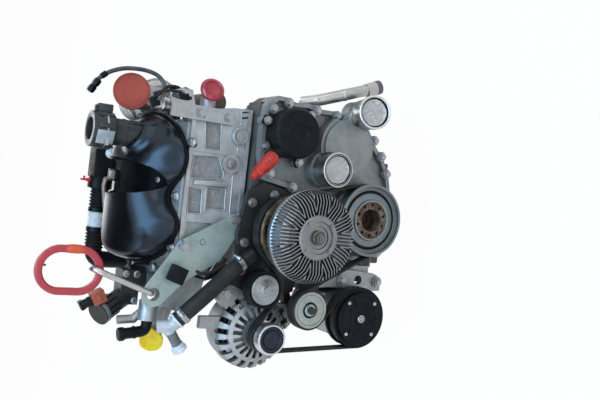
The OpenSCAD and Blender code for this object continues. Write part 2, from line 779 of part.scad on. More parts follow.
module coolant_inlet() {
    color("#1c1d1e") front() turned(inlet_x, inlet_z) polygon([[26, 40.2], [30, 40.2],
        [30, 61.2], [34, 61.2], [34, 66], [33, 70], [33, 98], [35.5, 100], [35.5, 108],
        [33, 109], [30, 109], [30, 80], [26, 74]]);
}

module coolant_outlet() {
    lip = outlet_lip;
    way = outlet_way;
    color("#c4c7c8") front() {
        difference() {
            union() {
                strut(lip - 56 * way, lip, 33);
                strut(lip - 9 * way, lip, 35.5);
            }
            strut(lip - 40 * way, lip + way, 31);
            plate(cover_y - 0.2, 0) square(600, center = true);
        }
        plate(cover_y - 10, cover_y - 0.2) outlet_flange();
    }
}

module outlet_flange() {
    hull() {
        translate([206, 56]) circle(11);
        translate([outlet_x, outlet_z]) circle(30);
    }
}

module side_pipe() {
    color("#c9cdcd") front() {
        bent_bar([[234, 17, 139], [242, 0, 110], [262, -22, 56], [286, -28.4, -10]], 12.5);
        strut([280, -27, 4], [289, -29, -18], 15);
        block_box(224.2, 236, 4, 30, 126, 152);
    }
}

module port_caps() {
    front() {
        color("#d8dadb") bar_y(inlet_x, inlet_z, -107, -103, 29.8);
        color("#d8dadb") strut(outlet_lip - 7 * outlet_way, outlet_lip - 3 * outlet_way, 30.8);
        color("#2a2a2a") strut([289.1, -29, -18.2], [294, -30.2, -30], 15.5);
        color("#b3172f") crimson_cap();
        color("#f2d013") yellow_cap();
        color("#e9ebee") strut(branch + 0.3 * branch_way, branch + 9 * branch_way, 12.5);
        color("#e9ebee") strut(branch + 8 * branch_way, branch + 16 * branch_way, 15);
        color("#1b1b1b") block_box(-158, -124, -50, plate_y - 4.2,
            head_z + 118, head_z + 150);
    }
}

module crimson_cap() {
    aimed(port + 18.3 * port_way, port + 40 * port_way) {
        cylinder(r = 20, h = 8);
        translate([0, 0, 8]) cylinder(r = 24, h = 5);
        translate([0, 0, 13]) cylinder(r1 = 24, r2 = 17, h = 6);
    }
}

module yellow_cap() {
    aimed(charge_mouth - 9 * charge_way, charge_mouth) {
        cylinder(r = 15.7, h = 12);
        translate([0, 0, 9.3]) cylinder(r = 25, h = 7);
        translate([0, 0, 9.3]) linear_extrude(7) polygon([[0, 24.5], [16, 19], [35, 9], [37, 5],
            [36, 1], [14, -20.5], [0, -24.5]]);
    }
}

// ---- top of the engine -----------------------------------------------------------

// Places children on the sloping seat of the top cover: X, distance up the slope, height.
module on_slope() {
    translate([0, -8, head_top + 6.4]) rotate([cover_slope, 0, 0]) children();
}

module plenum_outline() {
    softened(12) polygon([[-62, -10], [-106, 18], [-130, 66], [-134, 120], [-118, 174],
        [-78, 204], [0, 208], [88, 198], [146, 172], [170, 126], [171, 84], [156, 42],
        [134, 12], [98, -14], [66, -16], [42, -2], [24, 20], [4, 28], [-14, 18], [-36, -8]]);
}

module intake_plenum() {
    color("#141516") front() on_slope() difference() {
        union() {
            linear_extrude(7) plenum_outline();
            intersection() {
                linear_extrude(plenum_h + 12) offset(-7) plenum_outline();
                translate([0, 100, plenum_h - 150]) rotate([0, 90, 0])
                    cylinder(r = 150, h = 500, center = true, $fn = 128);
                translate([15, 0, plenum_h - 420]) rotate([90, 0, 0])
                    cylinder(r = 420, h = 500, center = true, $fn = 160);
            }
        }
        translate([34, 66, 26]) rotate([-4, 0, 0]) linear_extrude(60) softened(6)
            polygon([[-30, 130], [30, 130], [26, 40], [10, 0], [-10, 0], [-24, 40]]);
        translate([118, 96, 10]) rotate([-cover_slope, 0, 0]) cylinder(r = 27, h = 80);
    }
}

module pressure_sensor() {
    color("#1d1e20") front() on_slope() translate([34, 66, 26.2]) rotate([-4, 0, 0]) {
        linear_extrude(7) softened(4) polygon([[-16, 70], [16, 70], [10, 14], [-10, 14]]);
        translate([-15, 48, 6]) cube([30, 46, 18]);
        translate([-13, 90, 8]) cube([26, 26, 15]);
        translate([0, 22, 6]) cylinder(r = 6, h = 4);
    }
}

module intake_duct() {
    color("#191a1b") front() on_slope() translate([118, 96, 10.4]) rotate([-cover_slope, 0, 0])
        difference() {
            union() {
                cylinder(r = 26.6, h = 110);
                translate([0, 0, 80]) cylinder(r = 35, h = 44);
                translate([30, -9, 84]) cube([22, 18, 34]);
                for (a = [0 : 60 : 300]) rotate(a) translate([32, -5, 82]) cube([6, 10, 38]);
            }
            translate([0, 0, 12]) cylinder(r = 22, h = 120);
        }
}

module corrugated_duct() {
    y = 236;
    z = head_top + 92;
    color("#1a1b1c") front() {
        for (i = [0 : 18]) translate([-128 + i * 7, y, z]) rotate([0, 90, 0])
            cylinder(r = i % 2 == 0 ? 20.5 : 17, h = 7);
        translate([2, y, z + 2]) rotate([0, 90, 0]) cylinder(r = 26, h = 28);
        block_box(26, 92, y - 24, y + 26, z - 45.6, z + 24);
        for (i = [0 : 4]) block_box(30 + i * 13, 36 + i * 13, y - 26, y + 30, z - 42, z + 20);
        bent_bar([[-122, y, z], [-150, y, z], [-150, y, head_z + 94.3]], 18);
    }
}

module egr_valve() {
    color("#26292a") front() translate([0, 0, head_z]) {
        strut([-168, 84, 158.8], [-168, 84, 190.5], 27);
        block_box(-216, -148, 52, 98, 174, 210);
        strut([-196, 75, 187.5], [-230, 42, 248.5], 20);
        strut([-227.2, 44.7, 243.5], [-232.8, 39.3, 253.5], 24);
    }
}

module intake_manifold() {
    color("#b7bbbd") front() difference() {
        translate([0, 0, head_z]) {
            block_box(block_x0 - 62, block_x0 - 4.2, 20, block_len - 40, 54, 94);
            strut([-168, 84, 84.5], [-168, 84, 158.5], 28);
            strut([-176, 72, 96], [-274, 62, 132.5], 19);
            translate([-274, 62, 132.5]) sphere(20.2);
            strut([-274, 62, 132.5], [-274, 62, 132.5] + 24 * charge_way, 19);
            plate(-12, 30) polygon([[-124, 126.5], [-166, 142.5], [-204, 150.5], [-216, 118.5],
                [-176, 70.5], [-130, 60.5]]);
            strut([-200, 16, 140], [-214, 12, 165], 12);
            strut([-200, 12, 164.5], [-238, 10, 165.5], 19);
            bent_bar([[-218, 24, 166], [-239, 27, 188], [-242, 30, 218]], 8.5);
        }
        strut(charge_mouth - 14 * charge_way, charge_mouth + charge_way, 16);
    }
}

module exhaust_manifold() {
    port_z = head_z + 57;
    color("#6d5a4d") front() {
        for (i = [0 : 3]) {
            y = 66 + i * bore_pitch;
            block_box(block_x1 + 6.2, block_x1 + 16, y - 30, y + 30, port_z - 25, port_z + 25);
            strut([block_x1 + 12, y, port_z], [turbo_x, y, port_z], 18);
        }
        bar_y(turbo_x, port_z, 44, block_len - 80, 22);
        strut([turbo_x, 292, port_z], [turbo_x, 292, turbo_z - 52.2], 24);
    }
}

module turbocharger() {
    x = turbo_x;
    z = turbo_z;
    color("#8f9496") front() {
        bar_y(x, z, 262, 322, 42);
        bar_y(x, z, 214, 264, 24);
        bar_y(x, z, 178, 216, 46);
        bar_y(x, z, 160, 180, 30);
        strut([x, 172, z], mouth - 30 * mouth_way, 27);
        translate(mouth - 30 * mouth_way) sphere(27.8);
        strut(mouth - 30 * mouth_way, mouth, 30);
        block_box(x - 22, x + 22, 270, 314, z - 52, z - 30);
    }
}

module turbo_cap() {
    color("#dd4a24") front() {
        strut(mouth + 0.3 * mouth_way, mouth + 10 * mouth_way, 37);
        strut(mouth + 9 * mouth_way, mouth + 12 * mouth_way, 32.5);
    }
}

// Route of the thin vent hose beside the turbocharger, its heights above the head's top.
vent_route = [[205, 102, 166.5], [228, 100, 146.5], [246, 100, 112.5], [251, 100, 80.5],
    [246, 98, 46.5], [226, 92, 26.5], [190, 82, 20.5], [152.4, 74, 19.5]];

module vent_hose() {
    color("#2a2d30") front() translate([0, 0, head_top]) {
        bent_bar(vent_route, 4.5);
        strut([214, 102, 158.5], [190, 104, 172.5], 8);
    }
}

module coolant_hose() { color("#1e1f20") front() bent_bar(hose, 16); }

module hose_clamps() {
    color("#b9bec2") front() {
        sleeve(hose[0] + 8 * hose_in, hose[0] + 18 * hose_in, 18.6, 16.2);
        sleeve(hose[3] - 18 * hose_out, hose[3] - 7 * hose_out, 18.6, 16.2);
    }
}

module port_elbow() {
    color("#191a1b") front() {
        translate([0, 0, head_z]) bent_bar([[-240, 10, 165.5], [-256, 9, 168.5],
            [-266, 9, 220.5]], 11);
        strut(hose[3] + 0.3 * hose_out, knee, 16);
        translate(knee) sphere(17);
        strut(knee, knee + [1, 7, 21], 12.5);
        strut(knee + 8 * branch_way, branch, 10);
    }
}

// ---- brackets and lifting gear ---------------------------------------------------

module front_lifting_bracket() {
    color("#b6c4ba") front() difference() {
        translate([0, 0, head_z]) plate(plate_y - 4, plate_y) softened(3) polygon([[-12, 12.5],
            [-20, 2.5], [-38, 0.5], [-112, 43.5], [-155, 112.5], [-203, 158.5], [-208, 178.5],
            [-198, 194.5], [-176, 194.5], [-93, 142.5], [-78, 132.5], [-26, 38.5]]);
        bar_y(eye_x, eye_z, plate_y - 6, plate_y + 2, 12.5);
        bar_y(-77, head_z + 84.5, plate_y - 6, plate_y + 2, 6);
    }
}

module side_lifting_bracket() {
    color("#c2c8cb") front() translate([0, 0, head_z]) difference() {
        union() {
            plate(-17.2, -13.2) softened(3) polygon([[158, 40.5], [184, 40.5], [186, 64.5],
                [186, 174.5], [158, 174.5]]);
            translate([184, -17.2, 126.5]) rotate([0, 0, 35]) cube([40, 4, 50]);
        }
        translate([184, -17.2, 126.5]) rotate([0, 0, 35]) translate([24, 5, 26])
            rotate([90, 0, 0]) cylinder(r = 9, h = 8);
    }
}

// Middles of the lifting link's two round ends: by the bracket's eye and round the ring.
link_r = 14.6;
link_eye = [eye_x, plate_y - 2, eye_z];
link_high = [-142, -40, ring_z - 53.5];
link_way = (link_high - link_eye) / norm(link_high - link_eye);
link_low = link_eye + (link_r + 5.6) * link_way;

// Moves children to a point and turns their +Z axis along the link, its plane across X.
module on_link(p) {
    translate(p) rotate([atan2(-link_way[1], link_way[2]), 0, 0])
        rotate([0, asin(link_way[0]), 0]) children();
}

module link_end() {
    difference() {
        rotate([0, 90, 0]) rotate_extrude() translate([link_r, 0]) circle(5.6);
        translate([-10, -30, -40]) cube([20, 60, 40]);
    }
}

module lifting_rod() {
    color("#8b8d8f") front() {
        on_link(link_high) link_end();
        on_link(link_low) rotate([180, 0, 0]) link_end();
        for (s = [-1, 1]) on_link(link_low) translate([0, s * link_r, -1])
            cylinder(r = 5.4, h = norm(link_high - link_low) + 2);
    }
}

// Section of the lifting ring's bar, with chamfered corners.
module ring_section() {
    translate([37.5, 0]) polygon([[-6.5, -3.5], [-3.5, -6.5], [3.5, -6.5], [6.5, -3.5],
        [6.5, 3.5], [3.5, 6.5], [-3.5, 6.5], [-6.5, 3.5]]);
}

module lifting_ring() {
    color("#c8303a") front() translate([-142, -40, ring_z]) rotate([90, 0, 0])
        for (a = [0, 180]) rotate(a) translate([0, 16, 0]) {
            difference() {
                rotate_extrude() ring_section();
                translate([-60, -60, -10]) cube([120, 60, 20]);
            }
            rotate([90, 0, 0]) linear_extrude(32) ring_section();
        }
}

module bolts_and_plugs() {
    color("#b5bac0") front() {
        for (b = cover_bolts) front_bolt(b[0], b[1], cover_y - 2.2);
        for (a = separator_ears) front_bolt(separator_x + 60 * cos(a),
            separator_z + 60 * sin(a), -62.2);
        for (b = pump_bolts) front_bolt(b[0], b[1], -46.2, 6.5);
        for (p = core_plugs) bar_y(p[0], head_z + p[1], -18, -0.5, 10.8);
        for (z = [54.5, 114.5]) front_bolt(172, head_z + z, -17.4);
        for (p = bracket_bolts) front_bolt(p[0], p[1], plate_y - 4.2, 6.5);
        for (p = ear_bolts) front_bolt(p[0], p[1], -30.2, 8);
        for (z = bracket_feet) front_bolt(-136, z, -44.2);
    }
}

// Bolts through the alternator's two ears.
ear_bolts = [[-174, 288], [-207, 130]];

module engine_mounts() {
    color("#2b2d2f") front() for (s = [-1, 1]) {
        x = s > 0 ? block_x1 + 20 : block_x0 - 20;
        difference() {
            union() {
                block_box(min(x, x + s * 12), max(x, x + s * 12), 190, 290, -54, 70);
                block_box(min(x, x + s * 70), max(x, x + s * 70), 200, 280, 6, 20);
                for (y = [200, 268]) block_box(min(x, x + s * 50), max(x, x + s * 50), y, y + 12,
                    -40, 10);
            }
            for (y = [222, 258]) translate([x + s * 46, y, 0]) cylinder(r = 6.5, h = 30);
        }
    }
}

module starter_motor() {
    color("#2f3233") front() {
        bar_y(starter_x, starter_z, 300, block_len - 30, 37);
        bar_y(starter_x, starter_z, block_len - 34, block_len - 26.2, 41);
        bar_y(starter_x, starter_z, block_len - 27, block_len + 6, 30);
        bar_y(starter_x - 4, starter_z - 54, 320, block_len - 50, 20);
    }
}

module oil_filter() {
    x = block_x1 + 60;
    color("#d9d9d6") front() {
        block_box(block_x1 + 12.2, x + 34, 294, 366, 74, 100);
        translate([x, 330, -40]) cylinder(r = 36, h = 118);
        translate([x, 330, -44]) cylinder(r = 30, h = 6);
    }
}

cylinder_block();
head_gasket();
cylinder_head();
rocker_cover();
oil_pan();
timing_cover();
flywheel_housing();
crankshaft();
flywheel();
damper_hub();
damper_rubber();
damper_ring();
water_pump_housing();
fan_pulley();
fan_drive_plate();
fan_clutch();
clutch_thermostat();
accessory_bracket();
compressor_bracket();
compressor_body();
compressor_pulley();
compressor_clutch_plate();
alternator_front_housing();
alternator_stator();
alternator_rear_housing();
alternator_rotor();
alternator_pulley();
idler_pulley();
idler_cap();
tensioner_base();
tensioner_arm();
tensioner_pulley();
ribbed_belt();
oil_separator();
separator_plug();
coolant_inlet();
coolant_outlet();
side_pipe();
port_caps();
intake_plenum();
pressure_sensor();
intake_duct();
corrugated_duct();
egr_valve();
intake_manifold();
exhaust_manifold();
turbocharger();
turbo_cap();
vent_hose();
coolant_hose();
hose_clamps();
port_elbow();
front_lifting_bracket();
side_lifting_bracket();
lifting_rod();
lifting_ring();
bolts_and_plugs();
engine_mounts();
starter_motor();
oil_filter();
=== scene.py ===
import bpy
import bmesh
import math
from mathutils import Matrix, Vector, geometry


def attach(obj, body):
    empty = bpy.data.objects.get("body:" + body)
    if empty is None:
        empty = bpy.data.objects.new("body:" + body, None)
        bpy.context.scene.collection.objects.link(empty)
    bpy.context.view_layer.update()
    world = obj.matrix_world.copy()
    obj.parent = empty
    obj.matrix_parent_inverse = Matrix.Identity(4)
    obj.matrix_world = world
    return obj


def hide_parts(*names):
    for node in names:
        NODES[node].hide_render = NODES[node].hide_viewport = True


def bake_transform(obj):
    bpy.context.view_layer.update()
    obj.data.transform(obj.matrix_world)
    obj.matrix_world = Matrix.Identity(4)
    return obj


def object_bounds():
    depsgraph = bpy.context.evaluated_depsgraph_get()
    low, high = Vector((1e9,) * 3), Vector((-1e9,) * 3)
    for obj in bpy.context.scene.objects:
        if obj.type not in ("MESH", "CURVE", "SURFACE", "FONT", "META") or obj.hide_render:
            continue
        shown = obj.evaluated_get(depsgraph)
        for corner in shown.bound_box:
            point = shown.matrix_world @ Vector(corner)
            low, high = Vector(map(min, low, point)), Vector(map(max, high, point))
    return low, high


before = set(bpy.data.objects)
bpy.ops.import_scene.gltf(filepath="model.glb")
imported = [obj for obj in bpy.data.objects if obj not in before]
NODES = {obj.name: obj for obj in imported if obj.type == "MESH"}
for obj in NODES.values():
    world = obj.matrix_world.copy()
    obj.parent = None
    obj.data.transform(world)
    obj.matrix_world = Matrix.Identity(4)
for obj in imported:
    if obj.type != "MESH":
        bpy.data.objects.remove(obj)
CAD_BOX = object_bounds()

MM = 0.001
BLOCK_LEN = 520          # block front face to gearbox face, mm
HEAD_TOP = 393.5
SEAT_SLOPE = 18            # of the top cover's seat, degrees
FRONT = (0, -1, 0)
UP = (0, 0, 1)
RIGHT = (1, 0, 0)
BACK = (0, 1, 0)
# Middles of the turning parts, in mm.
FAN = (-41, 0, 188)
HUB = (0, 0, 0)
ALTERNATOR = (-251, 0, 217)
COMPRESSOR = (-209, 0, 1)
TENSIONER = (-195, 0, 123)
IDLER = (-157, 0, 233)


def P(x, y, z):
    """A point given in mm ahead of the block's front face, in the row frame in metres."""
    return Vector((x, y - BLOCK_LEN, z)) * MM


# ---- materials -------------------------------------------------------------------


def plug(tree, target, inputs):
    """Sets a node's inputs: a socket is linked, and a colour gets its alpha."""
    for key, value in inputs.items():
        socket = target.inputs[key]
        if isinstance(value, bpy.types.NodeSocket):
            tree.links.new(value, socket)
        elif socket.type == "RGBA":
            socket.default_value = (*value, 1)
        else:
            socket.default_value = value


def node(tree, kind, inputs=None, **settings):
    made = tree.nodes.new("ShaderNode" + kind)
    for key, value in settings.items():
        setattr(made, key, value)
    plug(tree, made, inputs or {})
    return made


def new_material(name):
    made = bpy.data.materials.new(name)
    made.use_nodes = True
    return made, made.node_tree, made.node_tree.nodes["Principled BSDF"]


M = {}


def paint(name, color, rough, metal, tint, tint_scale, tint_amount=0.5, grain=0,
          grain_scale=900, lumps=None, rough_var=0.12, grime_and_shade=None, specks=None, rings=None,
          spec=0.5, spec_tint=(1, 1, 1), coat=0, stretch=None):
    """A finish, with its depths and reaches in mm. grime_and_shade holds colour, amount and reach
    of a darkening in corners and gaps, partly grime and partly painted shade; specks colour,
    scale and amount, rings middle, scale and depth, lumps depth and scale."""
    M[name], tree, shader = new_material(name)
    coord = node(tree, "TexCoord").outputs["Object"]
    if stretch:
        coord = node(tree, "Mapping", {"Vector": coord, "Scale": stretch}).outputs["Vector"]

    def noise(scale, detail=6, roughness=0.6):
        return node(tree, "TexNoise", {"Vector": coord, "Scale": scale, "Detail": detail,
                                       "Roughness": roughness}).outputs["Fac"]

    def ramp(source, low, high):
        return node(tree, "MapRange", {"Value": source, "From Min": low, "From Max": high},
                    interpolation_type="SMOOTHSTEP").outputs["Result"]

    def times(a, b):
        return node(tree, "Math", {0: a, 1: b}, operation="MULTIPLY").outputs[0]

    def mix(a, b, factor):
        return node(tree, "Mix", {0: factor, 6: a, 7: b}, data_type="RGBA").outputs[2]

    out = mix(color, [c * 0.82 for c in color], ramp(noise(tint_scale * 3.1), 0.35, 0.7))
    out = mix(out, tint, times(ramp(noise(tint_scale), 0.42, 0.66), tint_amount))
    if specks:
        out = mix(out, specks[0], times(ramp(noise(specks[1], 3), 0.56, 0.66), specks[2]))
    # Darkens the corners, creases and gaps that ambient occlusion finds: partly grime, partly
    # painted shade.
    if grime_and_shade:
        shade = node(tree, "AmbientOcclusion", {"Distance": grime_and_shade[2] * MM}, samples=4).outputs["AO"]
        inverse = node(tree, "Math", {0: 1, 1: shade}, operation="SUBTRACT").outputs[0]
        corner = times(ramp(inverse, 0.15, 0.85), ramp(noise(45), 0.2, 0.6))
        out = mix(out, grime_and_shade[0], times(corner, grime_and_shade[1]))
    spread = node(tree, "MapRange", {
        "Value": noise(tint_scale * 1.7, 8), "From Min": 0.3, "From Max": 0.7,
        "To Min": max(0.04, rough - rough_var), "To Max": min(1, rough + rough_var)})
    sockets = {"Base Color": out, "Roughness": spread.outputs["Result"], "Metallic": metal,
               "Specular IOR Level": spec, "Specular Tint": spec_tint, "Coat Weight": coat,
               "Coat Roughness": 0.12}

    def bump(source, depth):
        before = {"Normal": sockets["Normal"]} if "Normal" in sockets else {}
        made = node(tree, "Bump", {"Height": source, "Distance": depth * MM, "Strength": 1,
                                   **before})
        sockets["Normal"] = made.outputs["Normal"]

    if rings:
        shift = node(tree, "VectorMath", {0: coord, 1: rings[0]}, operation="SUBTRACT")
        wave = node(tree, "TexWave", {"Vector": shift.outputs[0], "Scale": rings[1],
                                      "Distortion": 0.6}, wave_type="RINGS", rings_direction="Y")
        bump(wave.outputs["Fac"], rings[2])
    if lumps:
        bump(noise(lumps[1], 3), lumps[0])
    if grain:
        bump(noise(grain_scale, 4, 0.7), grain)
    plug(tree, shader, sockets)


# Colour of the darkening in corners and gaps: partly grime, partly painted shade.
GRIME_AND_SHADE = (0.035, 0.03, 0.027)
COOL = (0.75, 0.88, 1)
paint("cover_cast", (0.25, 0.27, 0.28), 0.52, 0.75, (0.3, 0.31, 0.31), 22, 0.6, 0.25, 1100,
    lumps=(0.6, 90), grime_and_shade=(GRIME_AND_SHADE, 0.7, 20))
paint("head_cast", (0.46, 0.485, 0.5), 0.46, 0.7, (0.33, 0.345, 0.36), 18, 0.6, 0.25, 1000,
    lumps=(0.5, 70), grime_and_shade=((0.07, 0.068, 0.066), 0.8, 12))
paint("cast", (0.36, 0.385, 0.4), 0.48, 0.8, (0.3, 0.31, 0.32), 30, 0.6, 0.3, 900, lumps=(0.6, 80),
    grime_and_shade=(GRIME_AND_SHADE, 0.7, 20))
paint("bright", (0.25, 0.265, 0.28), 0.32, 1, (0.2, 0.215, 0.23), 25, 0.5, 0.08, 1500,
    grime_and_shade=((0.012, 0.012, 0.014), 1, 20))
paint("hub_alu", (0.165, 0.178, 0.19), 0.34, 1, (0.12, 0.13, 0.14), 40, 0.5,
    rings=(P(*FAN), 260, 0.2), grain=0.1)
paint("iron", (0.075, 0.074, 0.07), 0.55, 0.2, (0.11, 0.085, 0.07), 25, 0.5, 0.4, 800,
    lumps=(0.8, 70), grime_and_shade=((0.02, 0.018, 0.016), 0.6, 20))
paint("black_cast", (0.012, 0.0125, 0.013), 0.45, 0, (0.026, 0.025, 0.024), 30, 0.5, 0.3, 900,
    lumps=(0.6, 80), specks=((0.06, 0.06, 0.06), 500, 0.25))
paint("black_gloss", (0.003, 0.003, 0.004), 0.26, 0, (0.006, 0.006, 0.008), 12, 0.4, 0.02, 700,
    lumps=(0.2, 14), rough_var=0.05, spec=0.55, spec_tint=(0.6, 0.78, 1))
paint("black_satin", (0.005, 0.005, 0.0055), 0.36, 0, (0.012, 0.012, 0.0125), 45, 0.4, 0.15, 1200,
    spec=0.14, spec_tint=COOL)
paint("black_matte", (0.007, 0.007, 0.0075), 0.55, 0, (0.015, 0.0145, 0.0145), 40, 0.5, 0.2, 1100,
    rough_var=0.15, spec=0.14, spec_tint=COOL)
# A darker, duller black for the cover's sensor pocket: painted shade in the recess.
paint("pocket_shade_black", (0.0015, 0.0015, 0.002), 0.5, 0, (0.004, 0.004, 0.005), 40, 0.5, 0.2, 1100,
    spec=0.05, spec_tint=COOL)
paint("rubber", (0.011, 0.011, 0.0115), 0.6, 0, (0.024, 0.023, 0.0225), 26, 0.5, 0.25, 1300,
    rough_var=0.15, spec=0.28)
paint("belt", (0.013, 0.013, 0.013), 0.5, 0, (0.035, 0.032, 0.03), 60, 0.35, 0.2, 1500, spec=0.3)
paint("steel", (0.5, 0.5, 0.51), 0.33, 1, (0.38, 0.37, 0.36), 45, 0.6, 0.1, 1400,
    grime_and_shade=(GRIME_AND_SHADE, 0.5, 20))
paint("zinc", (0.4, 0.43, 0.46), 0.34, 1, (0.3, 0.32, 0.36), 80, 0.6, 0.12, 1200,
    grime_and_shade=((0.05, 0.045, 0.04), 0.7, 6))
paint("zinc_disc", (0.34, 0.37, 0.39), 0.36, 0.85, (0.22, 0.245, 0.26), 55, 0.8, 0.3, 700,
    specks=((0.22, 0.2, 0.16), 160, 0.5))
paint("green_zinc", (0.34, 0.42, 0.39), 0.4, 0.55, (0.38, 0.43, 0.45), 14, 0.7, 0.15, 900,
    lumps=(0.3, 40), specks=((0.35, 0.42, 0.5), 45, 0.45))
paint("gold", (0.5, 0.43, 0.29), 0.28, 1, (0.36, 0.29, 0.22), 18, 0.6, 0.1, 1200,
    rings=(P(*FAN), 180, 0.15))
paint("rust", (0.13, 0.065, 0.035), 0.75, 0.3, (0.3, 0.2, 0.13), 60, 0.8, 0.5, 700,
    lumps=(0.8, 160), specks=((0.03, 0.022, 0.018), 260, 0.8))
paint("hub_rust", (0.1, 0.062, 0.042), 0.62, 0.55, (0.27, 0.23, 0.2), 55, 0.7, 0.4, 800,
    lumps=(0.6, 120), specks=((0.025, 0.02, 0.017), 240, 0.7))
paint("damper", (0.2, 0.225, 0.235), 0.38, 0.7, (0.16, 0.18, 0.19), 30, 0.5, 0.1, 1200,
    rings=(P(*HUB), 220, 0.2), grime_and_shade=(GRIME_AND_SHADE, 0.4, 20))
paint("copper", (0.1, 0.042, 0.025), 0.42, 0.5, (0.05, 0.022, 0.015), 120, 0.7, 0.6, 500,
    stretch=(1, 6, 1))
paint("red", (0.48, 0.04, 0.055), 0.42, 0, (0.54, 0.055, 0.045), 12, 0.6, 0.2, 900,
    lumps=(0.4, 60), grime_and_shade=((0.15, 0.03, 0.03), 0.5, 20))
paint("orange", (0.52, 0.018, 0.008), 0.38, 0, (0.6, 0.03, 0.012), 40, 0.5, 0.12, 900)
paint("turbo_orange", (0.42, 0.06, 0.036), 0.45, 0, (0.34, 0.045, 0.028), 20, 0.5, 0.12, 900,
    spec=0.4)
paint("crimson", (0.4, 0.012, 0.03), 0.25, 0, (0.32, 0.01, 0.025), 30, 0.5, 0.08, 700, coat=0.3)
paint("yellow", (0.9, 0.62, 0.004), 0.42, 0, (0.8, 0.52, 0.004), 30, 0.6, 0.15, 800)
paint("white", (0.78, 0.78, 0.8), 0.4, 0, (0.62, 0.62, 0.66), 40, 0.5, 0.15, 900)
paint("clear", (0.7, 0.69, 0.68), 0.35, 0, (0.55, 0.54, 0.54), 60, 0.5, 0.2, 900, spec=0.6)
paint("foil", (0.44, 0.46, 0.48), 0.38, 0.85, (0.32, 0.34, 0.36), 60, 0.7, 0.4, 260,
    lumps=(1.2, 70))
paint("cream", (0.42, 0.41, 0.34), 0.4, 0.15, (0.3, 0.29, 0.23), 50, 0.6, 0.15, 900,
    grime_and_shade=((0.15, 0.12, 0.08), 0.6, 6))
paint("manifold", (0.1, 0.075, 0.06), 0.7, 0.35, (0.2, 0.13, 0.09), 35, 0.7, 0.6, 600,
    lumps=(1, 90))
paint("brass", (0.5, 0.33, 0.12), 0.35, 1, (0.35, 0.22, 0.1), 60, 0.5, 0.1, 900)
paint("hub_dark", (0.03, 0.022, 0.018), 0.6, 0.4, (0.07, 0.045, 0.03), 60, 0.6, 0.4, 700,
    lumps=(0.5, 120))
paint("pulley_silver", (0.6, 0.62, 0.64), 0.3, 0.95, (0.4, 0.42, 0.45), 50, 0.5, 0.1, 1200,
    grime_and_shade=((0.03, 0.03, 0.03), 0.9, 8))
paint("rim_metal", (0.68, 0.7, 0.67), 0.35, 0.8, (0.5, 0.52, 0.5), 60, 0.6, 0.1, 1200)
paint("purple_dark", (0.12, 0.09, 0.12), 0.5, 0.3, (0.2, 0.15, 0.19), 70, 0.6, 0.3, 800)
paint("grey_plastic", (0.13, 0.13, 0.14), 0.4, 0.2, (0.2, 0.2, 0.21), 50, 0.6, 0.1, 900)
paint("hose_grey", (0.045, 0.05, 0.06), 0.4, 0.1, (0.09, 0.1, 0.115), 60, 0.6, 0.12, 1100)
paint("red_plastic", (0.72, 0.02, 0.03), 0.35, 0, (0.6, 0.015, 0.02), 40, 0.5, 0.1, 900)
paint("duct_plastic", (0.024, 0.028, 0.03), 0.38, 0, (0.045, 0.05, 0.053), 45, 0.5, 0.15, 1100,
    spec=0.4)
paint("blue_grey", (0.19, 0.235, 0.25), 0.36, 0.7, (0.15, 0.18, 0.195), 30, 0.5, 0.1, 1200,
    grime_and_shade=(GRIME_AND_SHADE, 0.4, 20))
paint("brown_metal", (0.36, 0.31, 0.28), 0.4, 0.7, (0.24, 0.2, 0.18), 60, 0.6, 0.15, 900)
paint("latch_grey", (0.34, 0.4, 0.44), 0.25, 0.6, (0.22, 0.27, 0.3), 30, 0.6, 0.1, 900)
paint("grey_cap", (0.2, 0.22, 0.225), 0.4, 0.4, (0.13, 0.145, 0.15), 50, 0.6, 0.1, 900)
paint("clasp_orange", (0.42, 0.09, 0.045), 0.5, 0, (0.3, 0.06, 0.03), 60, 0.7, 0.3, 600)
paint("weld_orange", (0.8, 0.1, 0.035), 0.45, 0, (0.68, 0.06, 0.04), 80, 0.6, 0.4, 500,
    lumps=(1, 150))
paint("grey_white", (0.52, 0.53, 0.55), 0.38, 0.2, (0.38, 0.39, 0.41), 60, 0.6, 0.15, 900)
paint("pipe", (0.48, 0.48, 0.47), 0.3, 0.95, (0.3, 0.3, 0.29), 30, 0.5, 0.1, 1000,
    stretch=(1, 1, 0.2))
paint("pocket_cast", (0.27, 0.268, 0.265), 0.62, 0.3, (0.34, 0.335, 0.33), 70, 0.7, 0.5, 900,
    lumps=(1.6, 75), specks=((0.5, 0.49, 0.47), 120, 0.5))
paint("brown_hose", (0.035, 0.022, 0.018), 0.5, 0, (0.06, 0.04, 0.034), 40, 0.5, 0.2, 1100)
paint("blue_paint", (0.05, 0.11, 0.38), 0.45, 0, (0.09, 0.2, 0.5), 60, 0.6)
paint("fin_floor", (0.12, 0.128, 0.135), 0.45, 0.6, (0.07, 0.075, 0.08), 50, 0.7, 0.3, 900)

